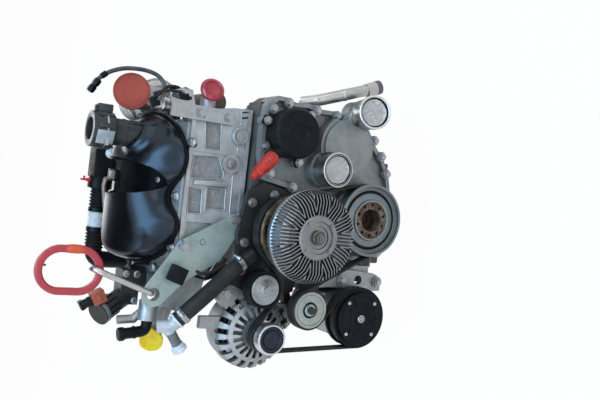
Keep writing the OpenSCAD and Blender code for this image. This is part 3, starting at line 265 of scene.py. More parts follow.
NODE_LOOK = {
    "iron": "cylinder_block",
    "steel": "head_gasket crankshaft flywheel alternator_rotor lifting_rod",
    "head_cast": "cylinder_head",
    "cast": "rocker_cover flywheel_housing compressor_bracket compressor_body "
            "alternator_front_housing alternator_rear_housing intake_manifold turbocharger",
    "black_cast": "oil_pan water_pump_housing accessory_bracket tensioner_base tensioner_arm "
                  "egr_valve engine_mounts",
    "cover_cast": "timing_cover",
    "hub_rust": "damper_hub",
    "rubber": "damper_rubber vent_hose coolant_hose",
    "damper": "damper_ring",
    "black_satin": "fan_pulley compressor_pulley compressor_clutch_plate intake_duct port_elbow "
                   "starter_motor oil_filter",
    "gold": "fan_drive_plate",
    "bright": "fan_clutch",
    "hub_alu": "clutch_thermostat",
    "hub_dark": "alternator_stator",
    "zinc": "alternator_pulley hose_clamps side_lifting_bracket bolts_and_plugs",
    "black_matte": "idler_pulley oil_separator pressure_sensor corrugated_duct",
    "zinc_disc": "idler_cap",
    "cream": "tensioner_pulley",
    "belt": "ribbed_belt",
    "orange": "separator_plug",
    "pipe": "coolant_inlet coolant_outlet side_pipe",
    "foil": "port_caps",
    "black_gloss": "intake_plenum",
    "manifold": "exhaust_manifold",
    "turbo_orange": "turbo_cap",
    "green_zinc": "front_lifting_bracket",
    "red": "lifting_ring",
}
BEVELS = {
    1.5: "cylinder_block flywheel_housing water_pump_housing accessory_bracket "
         "compressor_bracket compressor_body engine_mounts turbocharger",
    1.2: "cylinder_head egr_valve",
    1.4: "timing_cover",
    3: "rocker_cover oil_pan",
    0.6: "front_lifting_bracket side_lifting_bracket",
    2: "intake_manifold exhaust_manifold oil_filter starter_motor",
    0.5: "bolts_and_plugs",
    0.8: "alternator_front_housing alternator_rear_housing damper_ring coolant_outlet",
    0.35: "fan_clutch",
    1: "oil_separator",
}


def modifier(obj, kind, **settings):
    made = obj.modifiers.new(kind.lower(), kind)
    for key, value in settings.items():
        setattr(made, key, value)


def soften(obj, width, angle):
    """Rounds the edges sharper than angle, in degrees, to a width in mm."""
    modifier(obj, "BEVEL", width=width * MM, segments=2, limit_method="ANGLE",
             angle_limit=math.radians(angle))


for look, names in NODE_LOOK.items():
    for name in names.split():
        NODES[name].data.materials.clear()
        NODES[name].data.materials.append(M[look])
for width, names in BEVELS.items():
    for name in names.split():
        modifier(NODES[name], "WELD", merge_threshold=0.00001)
        soften(NODES[name], width, 32)
        modifier(NODES[name], "EDGE_SPLIT", split_angle=math.radians(34))
        modifier(NODES[name], "WEIGHTED_NORMAL", keep_sharp=True)

# ---- mesh helpers ----------------------------------------------------------------


def new_object(name, data):
    obj = bpy.data.objects.new(name, data)
    bpy.context.scene.collection.objects.link(obj)
    return obj


def merged(*shapes):
    """One list of points in metres and one of faces, from several pairs of them."""
    verts, faces = [], []
    for v, f in shapes:
        faces += [tuple(i + len(verts) for i in face) for face in f]
        verts += v
    return verts, faces


def build(name, look, *shapes, body="engine", smooth=40, bevel=0, hides=None):
    """One object from shapes, with its normals made to face outwards."""
    verts, faces = merged(*shapes)
    mesh = bpy.data.meshes.new(name)
    mesh.from_pydata([tuple(v) for v in verts], [], faces)
    bm = bmesh.new()
    bm.from_mesh(mesh)
    bmesh.ops.recalc_face_normals(bm, faces=bm.faces)
    bm.to_mesh(mesh)
    bm.free()
    mesh.shade_smooth()
    mesh.materials.append(M[look])
    obj = new_object(name, mesh)
    if bevel:
        soften(obj, bevel, 30)
    modifier(obj, "EDGE_SPLIT", split_angle=math.radians(smooth))
    if body:
        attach(obj, body)
    if hides:
        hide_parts(hides)
    return obj


def strips(rows, n, closed=False):
    """Faces that join each ring of n points to the next."""
    return [(r * n + k, r * n + (k + 1) % n, s * n + (k + 1) % n, s * n + k)
            for r in range(rows if closed else rows - 1) for s in [(r + 1) % rows]
            for k in range(n)]


def lids(rows, n):
    return [tuple(range(n)), tuple(range((rows - 1) * n, rows * n))]


def basis(way):
    way = Vector(way).normalized()
    a = way.cross(Vector(UP) if abs(way.z) < 0.9 else Vector((1, 0, 0))).normalized()
    return way, a, a.cross(way).normalized()


def spoke(middle, a, b, r, angle):
    return middle + r * (math.cos(angle) * a + math.sin(angle) * b)


def ring(middle, a, b, r, sides):
    return [P(*spoke(middle, a, b, r, math.tau * k / sides)) for k in range(sides)]


def around(middle, r, degrees):
    """X and Z of a point on a circle about middle."""
    t = math.radians(degrees)
    return middle[0] + r * math.cos(t), middle[2] + r * math.sin(t)


def spline(points, step=4):
    """A smooth curve through points in mm, sampled about every step."""
    pts = [Vector(p) for p in points]
    pts = [2 * pts[0] - pts[1]] + pts + [2 * pts[-1] - pts[-2]]
    out = []
    for a, b, c, d in zip(pts, pts[1:], pts[2:], pts[3:]):
        n = max(2, int((c - b).length / step))
        for i in range(n):
            t = i / n
            out.append(0.5 * (2 * b + (c - a) * t + (2 * a - 5 * b + 4 * c - d) * t * t
                              + (3 * b - a - 3 * c + d) * t ** 3))
    out.append(pts[-2])
    return out


def swept(path, radius, sides=20, capped=True):
    """A round bar along path in mm. The radius is a number or a function of the length."""
    verts = []
    across = basis(path[1] - path[0])[1]
    run = 0
    for i, p in enumerate(path):
        way = (path[min(i + 1, len(path) - 1)] - path[max(i - 1, 0)]).normalized()
        across = (across - way * across.dot(way)).normalized()
        if i:
            run += (p - path[i - 1]).length
        verts += ring(p, across, way.cross(across), radius(run) if callable(radius) else radius,
                      sides)
    return verts, strips(len(path), sides) + (lids(len(path), sides) if capped else [])


def tube(points, step, radius, sides):
    return swept(spline(points, step), radius, sides)


def turned(place, profile, sides=64, way=FRONT, closed=False, caps=True):
    """A solid of revolution: profile holds (radius, distance along way) in mm."""
    way, a, b = basis(way)
    rows = len(profile)
    verts = [v for r, h in profile for v in ring(Vector(place) + way * h, a, b, r, sides)]
    return verts, (strips(rows, sides, closed)
                   + (lids(rows, sides) if caps and not closed else []))


BOX_FACES = [(0, 1, 3, 2), (4, 6, 7, 5), (0, 4, 5, 1), (2, 3, 7, 6), (0, 2, 6, 4), (1, 5, 7, 3)]


def block(x0, x1, y0, y1, z0, z1, spin=0):
    """A box, turned by spin degrees about the Y axis through its middle."""
    cx, cz = (x0 + x1) / 2, (z0 + z1) / 2
    c, s = math.cos(math.radians(spin)), math.sin(math.radians(spin))
    return [P(cx + (x - cx) * c - (z - cz) * s, y, cz + (x - cx) * s + (z - cz) * c)
            for x in (x0, x1) for y in (y0, y1) for z in (z0, z1)], BOX_FACES


def prism(outline, y0, y1):
    """An outline in X and Z, pushed from y0 to y1."""
    n = len(outline)
    return [P(x, y, z) for y in (y0, y1) for x, z in outline], lids(2, n) + strips(2, n)


def rounded(points, times=3):
    """Cuts the corners of a closed outline until it is smooth."""
    for _ in range(times):
        points = [tuple(near * p + (1 - near) * q for p, q in zip(a, b))
                  for a, b in zip(points, points[1:] + points[:1]) for near in (0.75, 0.25)]
    return points


def hex_bolt(place, size=6, way=FRONT):
    """A flange bolt head: a washer face, a chamfered hexagon and its dimple."""
    def scaled(profile, sides):
        return turned(place, [(size * r, size * h) for r, h in profile], sides, way)

    return merged(scaled([(1.5, 0), (1.5, 0.16), (1.15, 0.32)], 28),
                  scaled([(1.1, 0.2), (1.1, 0.85), (0.98, 1), (0.5, 1), (0.42, 0.82)], 6))


def spun(name, look, place, profile, sides=64, way=FRONT, closed=False, caps=True, **how):
    return build(name, look, turned(place, profile, sides, way, closed, caps), **how)


def pipe(name, look, points, step, radius, sides, smooth=60, **how):
    return build(name, look, tube(points, step, radius, sides), smooth=smooth, **how)


def bolts(name, look, size, spots, way=FRONT):
    build(name, look, *[hex_bolt(spot, size, way) for spot in spots], smooth=35)


def on_seat(x, up, height):
    """A point on the top cover's sloping seat, in mm."""
    a = math.radians(SEAT_SLOPE)
    return Vector((x, -8 + up * math.cos(a) - height * math.sin(a),
                   HEAD_TOP + 6.4 + up * math.sin(a) + height * math.cos(a)))


# ---- domed top cover -------------------------------------------------------------

SEAT_OUTLINE = rounded([(-62, -10), (-106, 18), (-131, 66), (-138, 122), (-128, 178), (-88, 207),
                        (0, 208), (88, 198), (146, 172), (170, 126), (171, 84), (156, 42),
                        (134, 12), (98, -14), (66, -16), (42, -2), (24, 20), (4, 28), (-14, 18),
                        (-36, -8)])
SENSOR_POCKET = rounded([(0, 214), (67, 214), (69, 150), (66, 104), (61, 66), (53, 37), (41, 23),
                         (27, 23), (15, 37), (7, 66), (2, 104), (-1, 150)])


def outline_distance(x, u, outline):
    """Distance from a point to a closed outline, positive inside it."""
    best, inside = 1e9, False
    for (ax, ay), (bx, by) in zip(outline, outline[1:] + outline[:1]):
        dx, dy = bx - ax, by - ay
        t = max(0, min(1, ((x - ax) * dx + (u - ay) * dy) / (dx * dx + dy * dy)))
        best = min(best, math.hypot(x - ax - t * dx, u - ay - t * dy))
        if (ay > u) != (by > u) and x < ax + (u - ay) * dx / dy:
            inside = not inside
    return best if inside else -best


def smoothstep(low, high, value):
    t = max(0, min(1, (value - low) / (high - low)))
    return t * t * (3 - 2 * t)


def shell_height(x, u):
    """Height of the domed cover above its seat, without the sensor's pocket."""
    edge = outline_distance(x, u, SEAT_OUTLINE) - 6
    across = -86 + math.sqrt(22500 - min(149, abs(u - 106)) ** 2)
    along = 62 - (x - 10) ** 2 / (2400 if x < 10 else 460)
    crown = max(16, -6 * math.log(math.exp(-across / 6) + math.exp(-along / 6)) + 3)
    ends = smoothstep(-128, -84, x) * (1 - smoothstep(124, 160, x))
    reach = 27 + 45 * ends * (1 - smoothstep(70, 150, u))
    rise = max(0, min(1, edge / reach))
    power = 2.1 + 0.7 * (1 - ends)
    height = 7 + (crown - 7) * (1 - (1 - rise) ** power) ** (1 / power)
    neck = math.hypot(x - 118, u - 96)
    return height + 15 * max(0, 1 - max(0, neck - 27) / 20) ** 2


def pocket_floor(u):
    return shell_height(34, u) - 4 - 15 * smoothstep(24, 84, u)


def dome_height(x, u):
    height = shell_height(x, u)
    pocket = outline_distance(x, u, SENSOR_POCKET)
    wall = smoothstep(-1.8, 1.4, pocket)
    rim = 1.5 * math.exp(-((pocket + 3.4) / 2) ** 2)
    floor_height = max(7, min(height - 2, pocket_floor(u)))
    rise = smoothstep(6, 16, outline_distance(x, u, SEAT_OUTLINE))
    return height * (1 - wall) + floor_height * wall + rim * rise


def noise_at(x, y):
    """Smooth bumps, the same each run, for crinkled foil."""
    return (math.sin(0.31 * x + 1.3 * math.sin(0.23 * y)) * math.sin(0.27 * y + 1.1)
            + 0.5 * math.sin(0.53 * x - 0.41 * y + 2))


def inward(outline):
    """Each point of a clockwise outline, with the normal that points into it."""
    out = []
    for before, p, after in zip(outline[-1:] + outline, outline, outline[1:] + outline[:1]):
        way = (Vector(after) - Vector(before)).normalized()
        out.append((Vector(p), Vector((way.y, -way.x))))
    return out


def dome():
    """The cover's points and faces, and which faces lie in the sensor's pocket."""
    points = []

    def add(x, u, gap):
        """Adds a point that is further than gap from all the others."""
        if all((x - a) ** 2 + (u - b) ** 2 > gap * gap for a, b in points):
            points.append((x, u))

    for depth, gap in ((6, 0.6), (6.5, 0.6), (7.4, 0.8), (9, 1.2), (11.5, 1.8), (15, 2.5),
                       (19.5, 3.2), (25, 4), (31, 4.6), (38, 5)):
        for p, way in inward(SEAT_OUTLINE):
            q = p + depth * way
            if abs(outline_distance(*q, SEAT_OUTLINE) - depth) < 0.25:    # not across a corner
                add(*q, gap)
    for depth in (5.5, 4.4, 3.4, 2.4, 1.5, 0.6, -0.3, -1.2, -2.4, -5):
        for p, way in inward(SENSOR_POCKET):
            q = p + depth * way
            if outline_distance(*q, SEAT_OUTLINE) > 8:
                add(*q, 0.9)
    for x in range(-130, 172, 6):
        for u in range(-12, 206, 6):
            if outline_distance(x, u, SEAT_OUTLINE) > 26:
                add(x, u, 4)
    flat, _, triangles = geometry.delaunay_2d_cdt([Vector(p) for p in points], [], [], 0, 0.01)[:3]
    faces, in_pocket = [], []
    for face in triangles:
        middle = [sum(flat[i][axis] for i in face) / len(face) for axis in (0, 1)]
        if outline_distance(*middle, SEAT_OUTLINE) > 5.5:
            faces.append(tuple(face))
            in_pocket.append(outline_distance(*middle, SENSOR_POCKET) > -0.6)
    return [P(*on_seat(*v, dome_height(*v))) for v in flat], faces, in_pocket


dome_verts, dome_faces, dome_pocket = dome()
plenum = build("plenum_dome", "black_gloss", (dome_verts, dome_faces), smooth=60,
    hides="intake_plenum")
# The pocket's faces take the darker, duller black: painted shade in the recess.
plenum.data.materials.append(M["pocket_shade_black"])
plenum.data.polygons.foreach_set("material_index", dome_pocket)
lip = [P(*on_seat(*(p + depth * way), height))
       for depth, height in ((0, 0), (0, 5.6), (0.8, 6.6), (9, 7))
       for p, way in inward(SEAT_OUTLINE)]
build("plenum_flange", "black_satin",
    (lip, strips(4, len(SEAT_OUTLINE)) + lids(4, len(SEAT_OUTLINE))[:1]))


def star_screw(name, look, place, size, way=FRONT):
    """A pan-head screw with a star-shaped socket."""
    head = [(1.25 * size, 0), (1.25 * size, 0.8), (size, 1.2), (size, 3), (0.85 * size, 3.8),
            (0.55 * size, 4)]
    spun(name, look, place, head, 28, way, smooth=35)
    way, a, b = basis(way)
    # The shallow star recess is coloured black matte: painted shade in the socket.
    star = [P(*spoke(place + way * depth, a, b, size * (0.34, 0.5)[k % 2], math.tau * k / 12))
            for depth in (4.02, 2.6) for k in range(12)]
    build(name + "_socket_shade", "black_matte", (star, strips(2, 12) + lids(2, 12)[1:]))


SEAT_UP = on_seat(0, 0, 1) - on_seat(0, 0, 0)
star_screw("pocket_screw", "zinc", on_seat(34, 37, pocket_floor(37) - 0.5), 5.2, SEAT_UP)

# Bolts round the top cover's flange.
COVER_BOLTS = [(-95, 8, 0.5), (6, 12, 0.5), (112, -19, 0.5), (-140, 60, 1), (-139, 128, 1),
               (-100, 196, 1), (70, 211, 1), (158, 158, 1)]
for i, (x, u, h) in enumerate(COVER_BOLTS):
    build("cover_bolt_%d" % i, "zinc",
        turned(on_seat(x, u, -6), [(9.5, 0), (9.5, 6 + h), (8.5, 7 + h)], 28, SEAT_UP),
        hex_bolt(on_seat(x, u, 0.8 + h), 6.2, SEAT_UP), smooth=35)

# Pressure sensor in the cover's pocket, with its plug and silver pipe.

def seat_box(x0, x1, u0, u1, h0, h1):
    """A box standing on the cover's seat, tipped a little about the pocket's foot."""
    c, s = math.cos(math.radians(-4)), math.sin(math.radians(-4))
    return [P(*on_seat(34 + x, 66 + u * c - h * s, 26.2 + u * s + h * c))
            for x in (x0, x1) for u in (u0, u1) for h in (h0, h1)], BOX_FACES


build("sensor_body", "black_matte", seat_box(-12, 12, 20, 94, -6, 6),
    seat_box(-15, 15, 42, 92, 4, 18), seat_box(-11.5, 11.5, 86, 118, 5, 22), bevel=1.6,
    hides="pressure_sensor")
build("sensor_ribs", "black_satin",
    *[seat_box(-16, 16, 50 + 9 * k, 53.5 + 9 * k, 5, 19.2) for k in range(4)], bevel=0.6)
build("sensor_lid", "brown_metal", seat_box(-9, 9, 92, 112, 21.5, 24),
    seat_box(-12.5, 12.5, 112, 118.5, 8, 23), bevel=1)
build("sensor_clip", "steel", seat_box(-15.8, -14.6, 40, 84, 12, 15), bevel=0.4)
pipe("sensor_pipe", "brown_metal",
    [on_seat(26, 182, 46), on_seat(10, 192, 42), on_seat(-8, 200, 34), on_seat(-34, 207, 24)], 3,
    4.6, 16)
spun("ball_cap", "clear", on_seat(78, 206, 10),
    [(6, -8), (6, 6), (9.4, 8), (10.8, 12), (10.4, 18), (8, 22.4), (4.4, 24.6), (1.4, 25)], 32,
    SEAT_UP, smooth=60)

# ---- fan clutch, crank hub and other turning faces -------------------------------

spun("clutch_disc", "hub_alu", FAN, [(43.4, 183), (43.2, 186.2), (41.5, 186.8), (36, 187),
        (31.4, 186.9), (30.6, 184.6), (29.6, 183.6), (25, 183.9), (22.6, 183.5), (21.4, 181.8),
        (18, 182.2), (15, 181.6)], 96, body="fan_clutch", smooth=50)
spun("clutch_spring_cap", "rust", FAN, [(14, 184), (14, 190.6), (13, 191.6), (10.6, 191.8),
        (9.4, 190.4), (9, 190.2), (9, 193.4), (8.2, 194), (4.4, 193.6), (4, 193.9)], 48,
    body="fan_clutch")
spun("clutch_pin", "bright", FAN, [(3.4, 193), (3.4, 193.8), (2.4, 194)], 20, body="fan_clutch")
spun("clutch_rim_band", "bright", FAN,
    [(88.2, 150.5), (90.2, 152.2), (90.4, 156.2), (89.2, 160), (87, 161.8), (85.5, 160)], 128,
    caps=False, body="fan_clutch", smooth=60)

spun("hub_bright_ring", "bright", HUB,
    [(38.2, 91), (38.8, 94.6), (39.4, 95.2), (42.6, 95.2), (43.4, 94.2), (43.6, 91)], 96,
    caps=False, body="crank")
spun("hub_blue_ring", "blue_grey", HUB, [(43.6, 92), (45, 92.4), (49, 92), (50, 91.2),
        (54.5, 90.8), (57.2, 89.4), (58, 87.6), (58, 84)], 96, caps=False, body="crank")
spun("hub_recess", "hub_dark", HUB,
    [(23.9, 62.2), (23.2, 63), (16, 63.4), (15, 66), (10.4, 66.2), (9.6, 65), (9.2, 50)],
    body="crank")
for k in range(10):
    x, z = around(HUB, 33, 36 * k)
    spun("hub_hole_rim_%d" % k, "hub_rust", (x, 0, z),
        [(3.35, 88), (3.35, 91.9), (3.9, 92.35), (4.6, 92.3), (4.9, 91.9), (4.9, 91)], 20,
        caps=False, body="crank")

# Alternator pulley: a grooved silver wheel with a black cap pressed in its front.
groove = []
for k in range(7):
    y = 64.2 + 3.56 * k
    groove += [(28, y), (26.2, y + 1.3), (26.2, y + 1.9), (28, y + 3.2)]
spun("alternator_wheel", "pulley_silver", ALTERNATOR,
    [(8.4, 56), (28, 56.2), (30.6, 57), (31, 58), (31, 61), (30.4, 62), (28, 62.2)] + groove + [
        (28, 89), (30.2, 89.4), (31, 90.4), (31, 106.6), (30.2, 108.2), (29.2, 109.8), (27.2, 110),
        (26.2, 109.2), (25.6, 106.4), (25.4, 104), (8.4, 103.6)], 96, closed=True,
    body="alternator_rotor", smooth=35, hides="alternator_pulley")
spun("alternator_cap", "black_gloss", ALTERNATOR, [(25.3, 104), (25.3, 107.4), (24.6, 108.2),
        (20, 107.6), (19, 106.2), (18.2, 106), (17.4, 107.4), (9, 107.9), (7.8, 107.2),
        (7.2, 106.6)], body="alternator_rotor")
windings = []
for k in range(36):
    x, z = around(ALTERNATOR, 60, 10 * k)
    t = math.radians(10 * k) + 1.6
    windings.append(turned((x, -9, z), [(2.6, -6), (3.4, -3), (3.6, 2), (2.6, 6)], 10,
                           (math.cos(t), -0.35, math.sin(t))))
build("alternator_windings", "copper", *windings, smooth=60)
for k in range(4):
    x, z = around(ALTERNATOR, 63, 35 + 90 * k)
    bolts("alternator_screw_%d" % k, "zinc", 4, [(x, -29.5, z)])

# Air conditioning pulley and its clutch plate.
spun("compressor_clutch_face", "black_satin", COMPRESSOR,
    [(8, 60), (54, 91.4), (55, 92.2), (55, 95.2), (54.2, 96.2), (44, 96.6), (43, 95.8), (33, 95.6),
        (32, 96.8), (24, 98.2), (22.5, 97.4), (13, 96.8), (11.5, 97.6), (7, 97.6)], 96,
    body="compressor_plate", hides="compressor_clutch_plate")
build("compressor_hub_bolt", "zinc",
    turned(COMPRESSOR, [(8.6, 96), (8.6, 99.2), (7.8, 100.2), (5, 100.4), (4.6, 98.8)], 32),
    turned(COMPRESSOR, [(3.6, 97), (3.6, 100.8), (2.6, 101.4)], 24), body="compressor_plate")
for k in range(4):
    x, z = around(COMPRESSOR, 46, 45 + 90 * k)
    spun("compressor_rivet_%d" % k, "zinc", (x, 0, z),
        [(4.2, 95), (4.2, 97.2), (3.4, 98.6), (1.8, 99.2)], 24, body="compressor_plate", smooth=50)
for k in range(3):
    spring = [around(COMPRESSOR, r, 120 * k + 15 + math.degrees(0.012 * (r - 24)))
              for r in range(24, 45, 4)]
    pipe("compressor_leaf_%d" % k, "black_matte", [(x, -96.6, z) for x, z in spring], 2, 2.6, 12,
        body="compressor_plate")

# Smooth pulleys: the grooved middle of the tensioner's and the cap bolts.
spun("tensioner_wheel_face", "cream", TENSIONER, [(31.6, 85.5), (31.6, 87), (30.8, 88.4),
        (28, 88.8), (20, 88.3), (17.2, 87.6), (16.4, 85), (16.2, 83.2)], 72, caps=False,
    body="tensioner_pulley")
spun("tensioner_wheel_seal", "black_matte", TENSIONER,
    [(16.2, 83), (16, 84.6), (13.2, 85.2), (12.6, 83)], 56, caps=False, body="tensioner_pulley")
build("tensioner_bolt", "green_zinc",
    turned(TENSIONER, [(12.3, 84), (12.3, 88.6), (11.4, 89.4), (7, 89.6)], 40),
    turned(TENSIONER, [(8, 88), (8, 94.2), (7, 95.4), (3.4, 95.4), (2.8, 94.8)], 6),
    body="tensioner_arm", smooth=35)
spun("idler_disc", "zinc_disc", IDLER, [(30.2, 85), (30.2, 88.6), (29.2, 89.8), (24, 90.4),
        (21, 90.2), (19, 91.2), (12, 91.4), (10.5, 92.4)], 72)
bolts("idler_bolt", "zinc", 7.2, [(-157, -91.4, 233)])

# ---- caps on the open ports ------------------------------------------------------


def foil_disc(name, place, way, radius):
    """A crinkled metal foil plug with a turned-up edge, in a black seal ring."""
    way, a, b = basis(way)
    place = Vector(place)
    rings, sides = 12, 72
    verts = []
    for i in range(rings + 1):
        r = radius * (i + 0.02) / rings
        for t in [math.tau * k / sides for k in range(sides)]:
            lift = (0.9 * math.sin(5 * t + 0.12 * r) * (r / radius) ** 3
                    + 0.7 * noise_at(r * math.cos(t), r * math.sin(t))
                    + 1.6 * smoothstep(0.8, 0.97, r / radius))
            verts.append(P(*spoke(place + way * lift, a, b, r, t)))
    build(name, "foil", (verts, strips(rings + 1, sides) + lids(1, sides)[:1]), smooth=50)
    seal = [(0.2, -2), (0.2, 1.2), (1, 2), (2.6, 2), (3, 1.2), (3, -2)]
    spun(name + "_seal", "black_matte", place, [(radius + r, h) for r, h in seal], 72, way,
         caps=False)


foil_disc("inlet_foil", (95, -104.5, 107), FRONT, 27.4)
OUTLET = Vector((224, -110, 33.4))
OUTLET_WAY = Vector((2, -54, 11)).normalized()
foil_disc("outlet_foil", OUTLET - 5.5 * OUTLET_WAY, OUTLET_WAY, 27.6)
spun("outlet_rim", "rim_metal", OUTLET, [(31, -8), (31.2, 0.2), (32, 0.9), (34.6, 0.9),
        (35.4, 0.2), (35.5, -7), (34.8, -8.6), (33.4, -9.2)], 72, OUTLET_WAY, caps=False)
spun("inlet_rim", "rim_metal", (95, 0, 107),
    [(30.3, 100), (30.4, 108.4), (31.2, 109), (34, 109), (35.3, 108), (35.4, 101.4), (34.4, 100)],
    72, caps=False)

# Dark end of the side pipe.
spun("side_pipe_end", "purple_dark", (289.1, -29, -18.2),
    [(15.4, 0.4), (15.6, 3), (15.2, 11.6), (13.8, 12.6), (9.6, 12.2), (8.2, 9.6), (6, 9.2),
        (3, 5)], 48, (4.9, -1.2, -11.8))

# Crimson plug in the head's side port.
PORT_WAY = Vector((0.35, -0.92, 0.17)).normalized()
spun("crimson_plug", "crimson", Vector((212, 20, 351.5)) + 18.3 * PORT_WAY,
    [(19.6, 0.2), (20, 1.5), (20, 7.2), (23.2, 8), (24.2, 9.4), (24, 11.8), (22.4, 14.2),
        (18, 16.8), (16.6, 17.4), (15.6, 16.6), (14.6, 13.8), (8, 13), (2, 12.8)], 72, PORT_WAY,
    hides="port_caps")

# Yellow leaf-shaped cap on the charge pipe.
CHARGE_WAY = Vector((-0.36, -0.87, 0.33)).normalized()
CAP_FOOT = Vector((-274, 62, 398)) + 15 * CHARGE_WAY
LEAF = rounded([(0, 24.5), (16, 19), (31, 11.5), (37.5, 6.5), (36.5, 0), (14, -20.5), (0, -24.5),
                (-14, -20), (-23, -10), (-24.5, 2), (-20, 14), (-10, 22)])
cap_turn = Vector(UP).rotation_difference(CHARGE_WAY).to_matrix()
leaf = [P(*(CAP_FOOT + cap_turn @ Vector((x * shrink, y * shrink, h))))
        for shrink, h in ((0.96, 9.4), (1, 10.6), (1, 14.6), (0.95, 16.1), (0.84, 16.3),
                          (0.78, 15), (0.4, 14.8)) for x, y in LEAF]
build("yellow_cap", "yellow", (leaf, strips(7, len(LEAF)) + lids(7, len(LEAF))), smooth=45)
spun("yellow_cap_spigot", "yellow", CAP_FOOT, [(15.4, 0), (15.7, 1), (15.7, 10.5)], 40, CHARGE_WAY)

# White cap on the tee's branch.
HOSE_END = Vector((-226, -42, 389))
HOSE_OUT = (HOSE_END - Vector((-188, -55, 356))).normalized()
TEE = HOSE_END + 24 * HOSE_OUT
BRANCH = Vector((-275, -32, 382))
BRANCH_WAY = (BRANCH - TEE).normalized()
spun("white_cap", "white", BRANCH, [(10.3, 0.3), (11.8, 0.8), (12.4, 3.2), (12.2, 7.6),
        (13.4, 8.6), (14.8, 9.4), (15, 11.2), (14.6, 14.6), (13.6, 15.8), (12.2, 16), (11.2, 14.4),
        (4, 13.8)], 48, BRANCH_WAY)

# Black block on the lifting bracket, turned a little.
build("bracket_block", "black_matte", block(-157, -125, -49.4, -28.4, 384, 415, spin=-20),
    block(-150, -132, -50, -46, 391, 408, spin=-20), bevel=3)

# ---- hoses, tee, ducts and pipes -------------------------------------------------

HOSE = [(-108, -60.5, 273), (-113, -62.6, 281), (-124, -67, 298), (-145, -64.4, 317),
        (-168, -59.6, 338), (-188, -55, 356), (-208, -48.2, 373.4), (-226, -42, 389)]
pipe("coolant_hose_smooth", "rubber", HOSE, 3, 15.9, 32, hides="coolant_hose")


def worm_clamp(name, place, way, hides=None):
    """A worm-drive hose clip: a slotted band with its screw housing."""
    way, a, b = basis(way)
    out = spoke(Vector(), a, b, 1, 2.4)
    along = way.cross(out)
    band = turned(place, [(16.6, -5), (17.6, -5), (17.6, 5), (16.6, 5)], 48, way, closed=True)
    housing = turned(place + out * 20 - along * 6, [(3.6, 0), (4, 0.8), (4, 9.6), (3.2, 10.4),
        (3.2, 12), (4.6, 12.2), (4.6, 15.4), (4, 16), (1.2, 16), (1, 14.6)], 20, along)
    slots = []
    for k in range(26):
        o = spoke(Vector(), a, b, 1, math.tau * k / 26)
        corners = [place + o * (17.65 + w) + way * u + way.cross(o) * v for w in (0, 0.35)
                   for u, v in ((-3.2, -0.5), (3.2, -1.1), (3.2, -0.1), (-3.2, 0.5))]
        slots.append(([P(*c) for c in corners], lids(2, 4) + strips(2, 4)))
    build(name, "zinc", band, housing, hides=hides)
    build(name + "_slots", "steel", *slots)


HOSE_IN = (Vector(HOSE[2]) - Vector(HOSE[0])).normalized()
worm_clamp("lower_hose_clip", Vector(HOSE[0]) + 13 * HOSE_IN, HOSE_IN, hides="hose_clamps")
worm_clamp("upper_hose_clip", HOSE_END - 12.5 * HOSE_OUT, HOSE_OUT)

build("tee_body", "grey_white", tube(
        [HOSE_END + 0.6 * HOSE_OUT, TEE - 6 * HOSE_OUT, TEE + Vector((1, 7, 21))], 2,
        lambda s: 12.6 + 2.6 * smoothstep(12, 5, s), 28),
    turned(TEE + BRANCH_WAY * 4, [(12.4, -4), (12.4, 4), (11.2, 6)], 28, BRANCH_WAY), smooth=50,
    hides="port_elbow")
spun("tee_branch", "grey_plastic", TEE,
    [(10.6, 8), (11.4, 9), (11.4, 12), (10, 13), (10, (BRANCH - TEE).length)], 32, BRANCH_WAY)
spun("tee_collar", "white", HOSE_END, [(15.4, 0.3), (17.4, 0.8), (17.4, 3.4), (15.4, 4.2)], 40,
    HOSE_OUT)
build("black_elbow", "black_satin",
    tube([(-240, 10, 431), (-250, 9.4, 431.8), (-257.5, 9, 436), (-260.5, 9, 446),
          (-263.6, 9, 468), (-266, 9, 486)], 2, 10.8, 28),
    turned((-265.4, 9, 480), [(10.8, -6), (13, -5), (13.4, 0), (13, 4), (11.6, 6), (9, 6.2),
                              (8.4, 2)], 36, (-2.4, 0, 18)),
    turned((-261.6, 9, 455), [(10.9, -2.4), (12.4, -1.6), (12.4, 1.6), (10.9, 2.4)], 36,
           (-2.8, 0, 18)), smooth=50)

# Vent hose beside the turbocharger, with its moulded ends.
VENT = [(205, 102, 560), (218, 100.6, 551), (230, 100, 538), (240, 100, 521), (247.4, 100, 500),
        (250.6, 100, 476), (250.4, 99.6, 455), (246, 98, 437), (237, 95, 425), (222, 91, 418),
        (205, 86.6, 415), (190, 82, 413.8), (172, 78, 413.2), (152.4, 74, 413)]
pipe("vent_hose_smooth", "hose_grey", VENT, 3, 4.4, 16, hides="vent_hose")
build("vent_connector", "black_satin",
    turned((214, 102, 552), [(6, -3), (8, -1), (8, 9), (7, 10.4), (7, 14), (8.2, 15), (8.2, 24),
                             (7.2, 27), (5, 27.8)], 6, (-24, 2, 14)),
    turned((226, 100.2, 543), [(4.4, -8), (6, -7), (6, 3), (5.4, 5), (4.4, 5.6)], 20,
           (-12, 0.4, 13)))

# Corrugated breather duct with its clear middle length, and the ribbed box beside it.
DUCT_Z = HEAD_TOP + 92


def corrugated(name, look, x0, x1, low=17.2, high=20.4, pitch=7, hides=None):
    """A corrugated hose along X, between the radii low and high."""
    wave = ((0, low), (0.18, low + 0.5), (0.36, high - 0.4), (0.5, high), (0.64, high - 0.4),
            (0.82, low + 0.5))
    turns = round((x1 - x0) / pitch)
    profile = [(r, (k + f) * pitch) for k in range(turns) for f, r in wave]
    spun(name, look, (x0, 236, DUCT_Z), profile + [(low, turns * pitch)], 40, RIGHT, smooth=60,
         hides=hides)


